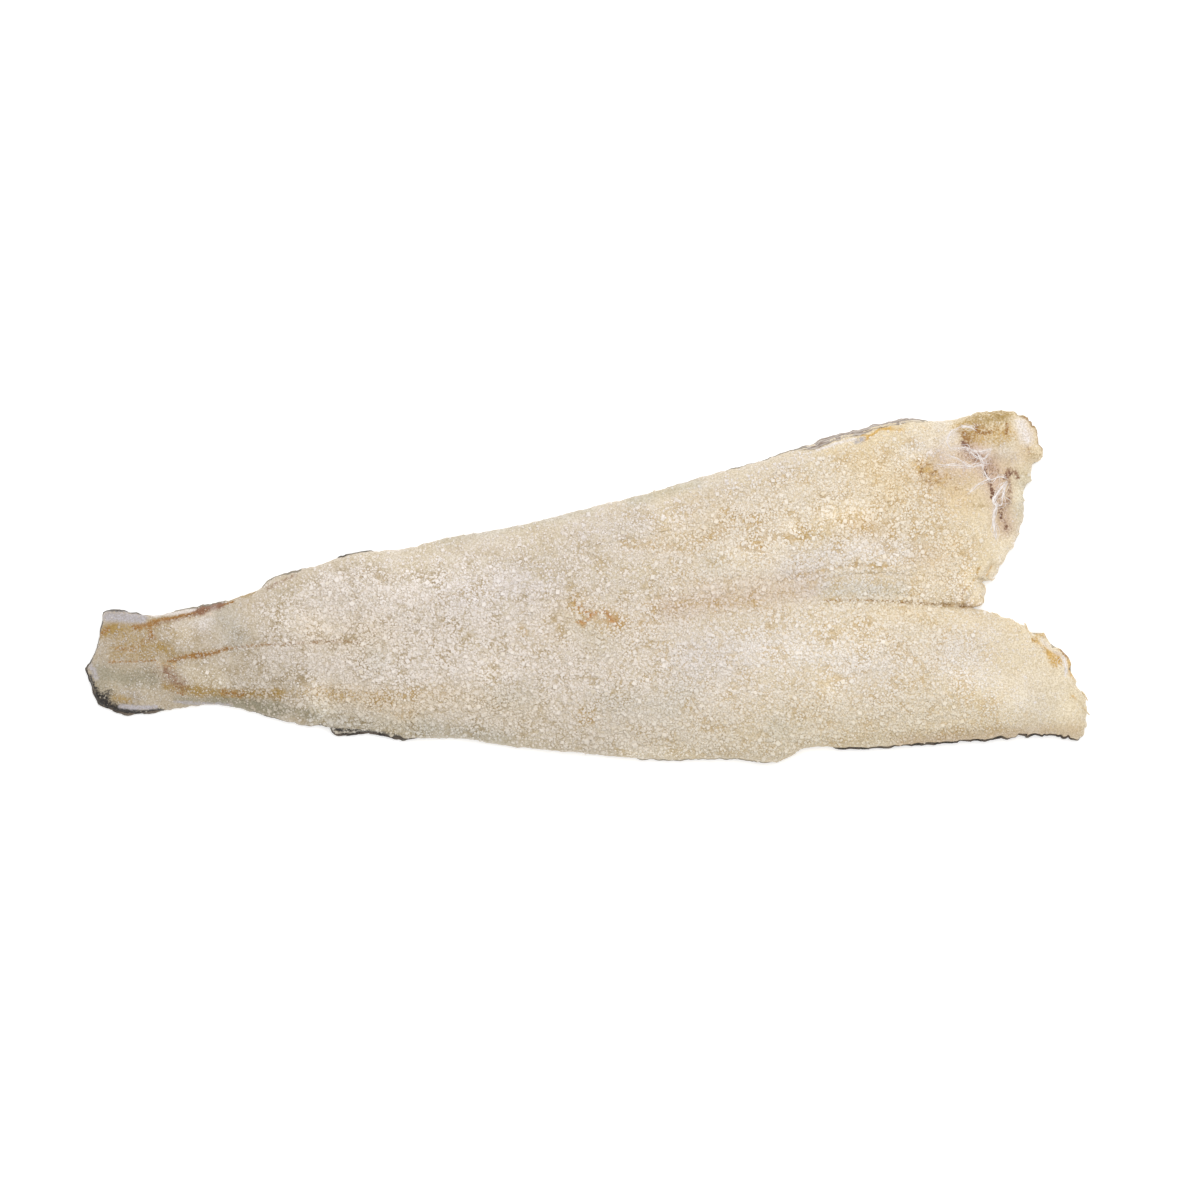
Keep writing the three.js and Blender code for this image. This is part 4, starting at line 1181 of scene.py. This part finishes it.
def flesh_material(tones, staining):
    material, n, where = new_material("dried_flesh")
    body, crust, seep = body_tones(n, tones, where), n.carried("crust"), n.carried("seep")
    crusted = n.ramp(crust, 0, 0.5, 0.12)
    cloudy = n.mix(n.ramp(n.noise(where, 30, 3), 0.35, 0.65, 0, 0.35), body["Flesh"], body["Salt"])
    frost = n.plus(n.noise(where, 1.7, 4, 0.62), n.times(crust, 0.22))
    frosted = n.mix(n.ramp(frost, 0.5, 0.76, 0, 0.9), cloudy, body["Salt"])
    clumps, crystals = from_gaps(n, where, CLUMP_SIZE), from_gaps(n, where, CRYSTAL_SIZE)
    # the gaps in the crust, wider where they are stained, and painted darker: painted shade in the
    # crevices, with the flesh's own tone showing through
    wider = n.times(seep, SEEP_WIDENS)
    narrow = n.most(n.ramp(n.less(clumps, wider), 0.2, 0.04),
                    n.ramp(n.less(crystals, wider), 0.14, 0.02, 0, 0.75))
    low = n.plus(n.carried("clump"), n.times(n.noise(where, 1.2, 3, 0.6), 1.5))
    hollow = n.most(narrow, n.ramp(n.less(low, wider), 0.5, 0.1))
    patchy = n.ramp(n.noise(where, 11, 3), 0.4, 0.66, 0.2, 0.9)
    gaps = n.times(n.times(hollow, crusted), n.most(patchy, seep))
    gap_tone = n.mix(n.ramp(seep, 0, 0.6), body["ShadedGap"], WEAK_SEEP_TONE)
    gap_tone = n.mix(n.ramp(seep, 0.5, 1), gap_tone, SEEP_TONE)
    colour = stained(n, staining, n.mix(gaps, frosted, gap_tone), where, 1.0)
    speckle = n.ramp(n.noise(where, 0.9, 3, 0.7), 0.36, 0.64)
    colour = n.mix(1.0, colour, n.mix(speckle, DARK_SPECKLE, BRIGHT_SPECKLE), "MULTIPLY")
    # the height of the grain, the fibres and the crystals
    threads = n.noise(lengthwise(n, where, FIBRE_ANGLE, (1, 10, 1)), 0.7, 2)
    domes = n.plus(n.ramp(clumps, 0, 0.35), n.ramp(crystals, 0, 0.3, 0, 0.7))
    height = n.plus(n.noise(where, 1.1, 5, 0.65), n.times(threads, n.carried("fibre")))
    height = n.plus(height, n.times(domes, crusted))
    rough = n.ramp(n.noise(where, 5, 2), 0.3, 0.7, 0.5, 0.75)
    finished(n, colour, rough, height, 0.3)
    return material


def salt_material(name, tones, staining):
    material, n, where = new_material(name)
    body, each = body_tones(n, tones, where), n.carried("clear")
    grain = n.mix(n.ramp(each, 0.35, 0, 0, 0.6), body["Salt"], body["Flesh"])
    clouded = n.mix(n.ramp(n.noise(where, 0.9, 3), 0.4, 0.7, 0, 0.3), grain, body["Flesh"])
    colour = stained(n, staining, clouded, where, 0.35)
    rough = n.ramp(n.noise(where, 0.7, 2), 0.3, 0.7, 0.4, 0.65)
    finished(n, colour, rough, n.noise(where, 0.5, 3), 0.1)
    return material


def skin_material():
    material, n, where = new_material("dried_skin")
    scales = n.add("TexVoronoi", {"feature": "F1"}, Vector=where, Scale=1000 / SCALE_SIZE, Randomness=0.7)
    from_scale = scales.outputs["Distance"]
    mottle = n.ramp(n.noise(where, 7, 4, 0.6), 0.4, 0.62)
    back = n.mix(mottle, tone(44, 36, 32), tone(104, 91, 79))
    belly = n.mix(mottle, tone(196, 186, 168), tone(172, 162, 142))
    colour = n.mix(n.carried("dark"), belly, back)
    colour = n.mix(n.times(n.carried("lateral"), 0.75), colour, tone(176, 166, 146))
    stripes = n.ramp(n.noise(lengthwise(n, where, STRIPE_ANGLE, (8, 1, 1)), 1.1), 0.42, 0.6)
    striped = n.mix(stripes, tone(194, 184, 174), tone(138, 120, 106))
    colour = n.mix(n.carried("curl"), colour, striped)
    speck = n.times(n.ramp(n.noise(where, 1.2, 3, 0.7), 0.55, 0.68), n.carried("lip"))
    colour = n.mix(n.times(speck, n.carried("dark")), colour, tone(30, 26, 26))
    rough = n.ramp(from_scale, 0, 0.6, 0.42, 0.7)
    finished(n, colour, rough, n.less(n.noise(where, 3, 3), from_scale), 0.35)
    return material


def thread_material(name, dark, bright):
    material, n, where = new_material(name)
    cloud = n.noise(where, 2.2, 4)
    colour = n.mix(n.ramp(cloud, 0.35, 0.65), tone(*dark), tone(*bright))
    finished(n, colour, n.ramp(cloud, 0.3, 0.7, 0.4, 0.65), n.noise(where, 0.5, 3), 0.12)
    return material


def floor_material():
    material, n, where = new_material("paper")
    paper = n.mix(n.ramp(n.noise(where, 0.8, 3), 0.3, 0.7), (0.94, 0.94, 0.94, 1), (0.95, 0.95, 0.95, 1))
    finished(n, paper, 0.9, n.noise(where, 0.5, 2), 0.01,
             Emission_Color=(1, 1, 1, 1), Emission_Strength=0.28)
    return material


# Stage, light and camera
PHOTO_WIDTH = 660
AIM = (7.15, -7.4)
CAMERA_HEIGHT = 2500
FISH_MID_HEIGHT = 8


def make_camera():
    camera = bpy.data.objects.new("camera", bpy.data.cameras.new("camera"))
    camera.data.sensor_width = 36
    camera.data.lens = 36 * (CAMERA_HEIGHT - FISH_MID_HEIGHT) / PHOTO_WIDTH
    camera.data.clip_end = 20
    camera.location = (AIM[0] * MM, AIM[1] * MM, CAMERA_HEIGHT * MM)
    bpy.context.scene.collection.objects.link(camera)
    bpy.context.scene.camera = camera


def make_floor():
    mesh = bpy.data.meshes.new("floor")
    mesh.from_pydata([(-6, -6, 0), (6, -6, 0), (6, 6, 0), (-6, 6, 0)], [], [(0, 1, 2, 3)])
    floor = bpy.data.objects.new("floor", mesh)
    mesh.materials.append(floor_material())
    bpy.context.scene.collection.objects.link(floor)


def make_light(name, place, size, power):
    lamp = bpy.data.objects.new(name, bpy.data.lights.new(name, "AREA"))
    lamp.data.shape = "SQUARE"
    lamp.data.size = size
    lamp.data.energy = power
    lamp.location = place
    lamp.rotation_euler = (-Vector(place)).to_track_quat("-Z", "Y").to_euler()
    bpy.context.scene.collection.objects.link(lamp)


def make_sky():
    world = bpy.data.worlds.new("tent")
    world.use_nodes = True
    world.node_tree.nodes["Background"].inputs["Color"].default_value = (1, 1, 1, 1)
    world.node_tree.nodes["Background"].inputs["Strength"].default_value = 0.74
    bpy.context.scene.world = world
    bpy.context.scene.view_settings.view_transform = "Standard"


def flesh_finder(piece):
    """Finds the flesh's height, and how far inside the outline it is, under a place."""
    offset = Vector((CENTRE[0], CENTRE[1], 0))
    corners = [v.co / MM + offset for v in piece.data.vertices]
    tree = BVHTree.FromPolygons(corners, [p.vertices[:] for p in piece.data.polygons])
    depth = np.empty(len(corners), np.float32)
    piece.data.attributes["inside"].data.foreach_get("value", depth)
    first = [p.vertices[0] for p in piece.data.polygons]

    def find(x, y):
        hit, _, index, _ = tree.ray_cast(Vector((x, y, 90)), Vector((0, 0, -1)))
        return (EDGE_UNDER, -1) if hit is None else (hit.z, depth[first[index]])

    return find


def build():
    tones, staining = make_body_tones(), make_staining()
    flesh = make_flesh()
    flesh.data.shade_smooth()
    flesh.data.materials.append(flesh_material(tones, staining))
    on_flesh = flesh_finder(flesh)
    skin = make_skin(on_flesh)
    skin.data.shade_smooth()
    skin.data.materials.append(skin_material())
    tissue = make_tissue(on_flesh)
    tissue.data.shade_smooth()
    tissue.data.materials.append(thread_material("dried_tissue", (222, 213, 208), (244, 238, 235)))
    fringe = make_fringe(on_flesh)
    fringe.data.shade_smooth()
    fringe.data.materials.append(thread_material("torn_fibres", (212, 190, 150), (236, 222, 196)))
    kinds = [
        ("salt_coarse", "cube", COARSE, lambda crust: 0.5 * crust, 0.05, 71),
        ("salt_medium", "lump", MEDIUM, lambda crust: 0.9 * crust, 0.2, 72),
        ("salt_small", "chip", SMALL, lambda crust: 0.75 * crust ** 0.7, 0.15, 73),
        ("salt_fine", "splinter", FINE, lambda crust: 0.6 * crust ** 0.5, 0.15, 74),
    ]
    for name, kind, sizes, cover, roughened, seed in kinds:
        salt = make_salt(name, kind, sizes, cover, roughened, on_flesh, seed)
        salt.data.materials.append(salt_material(name, tones, staining))
    make_floor()
    make_sky()
    make_light("key", (0.35, 0.7, 1.6), 1.2, 14)
    make_light("fill", (-0.8, -0.7, 1.3), 1.4, 3)
    make_camera()


build()
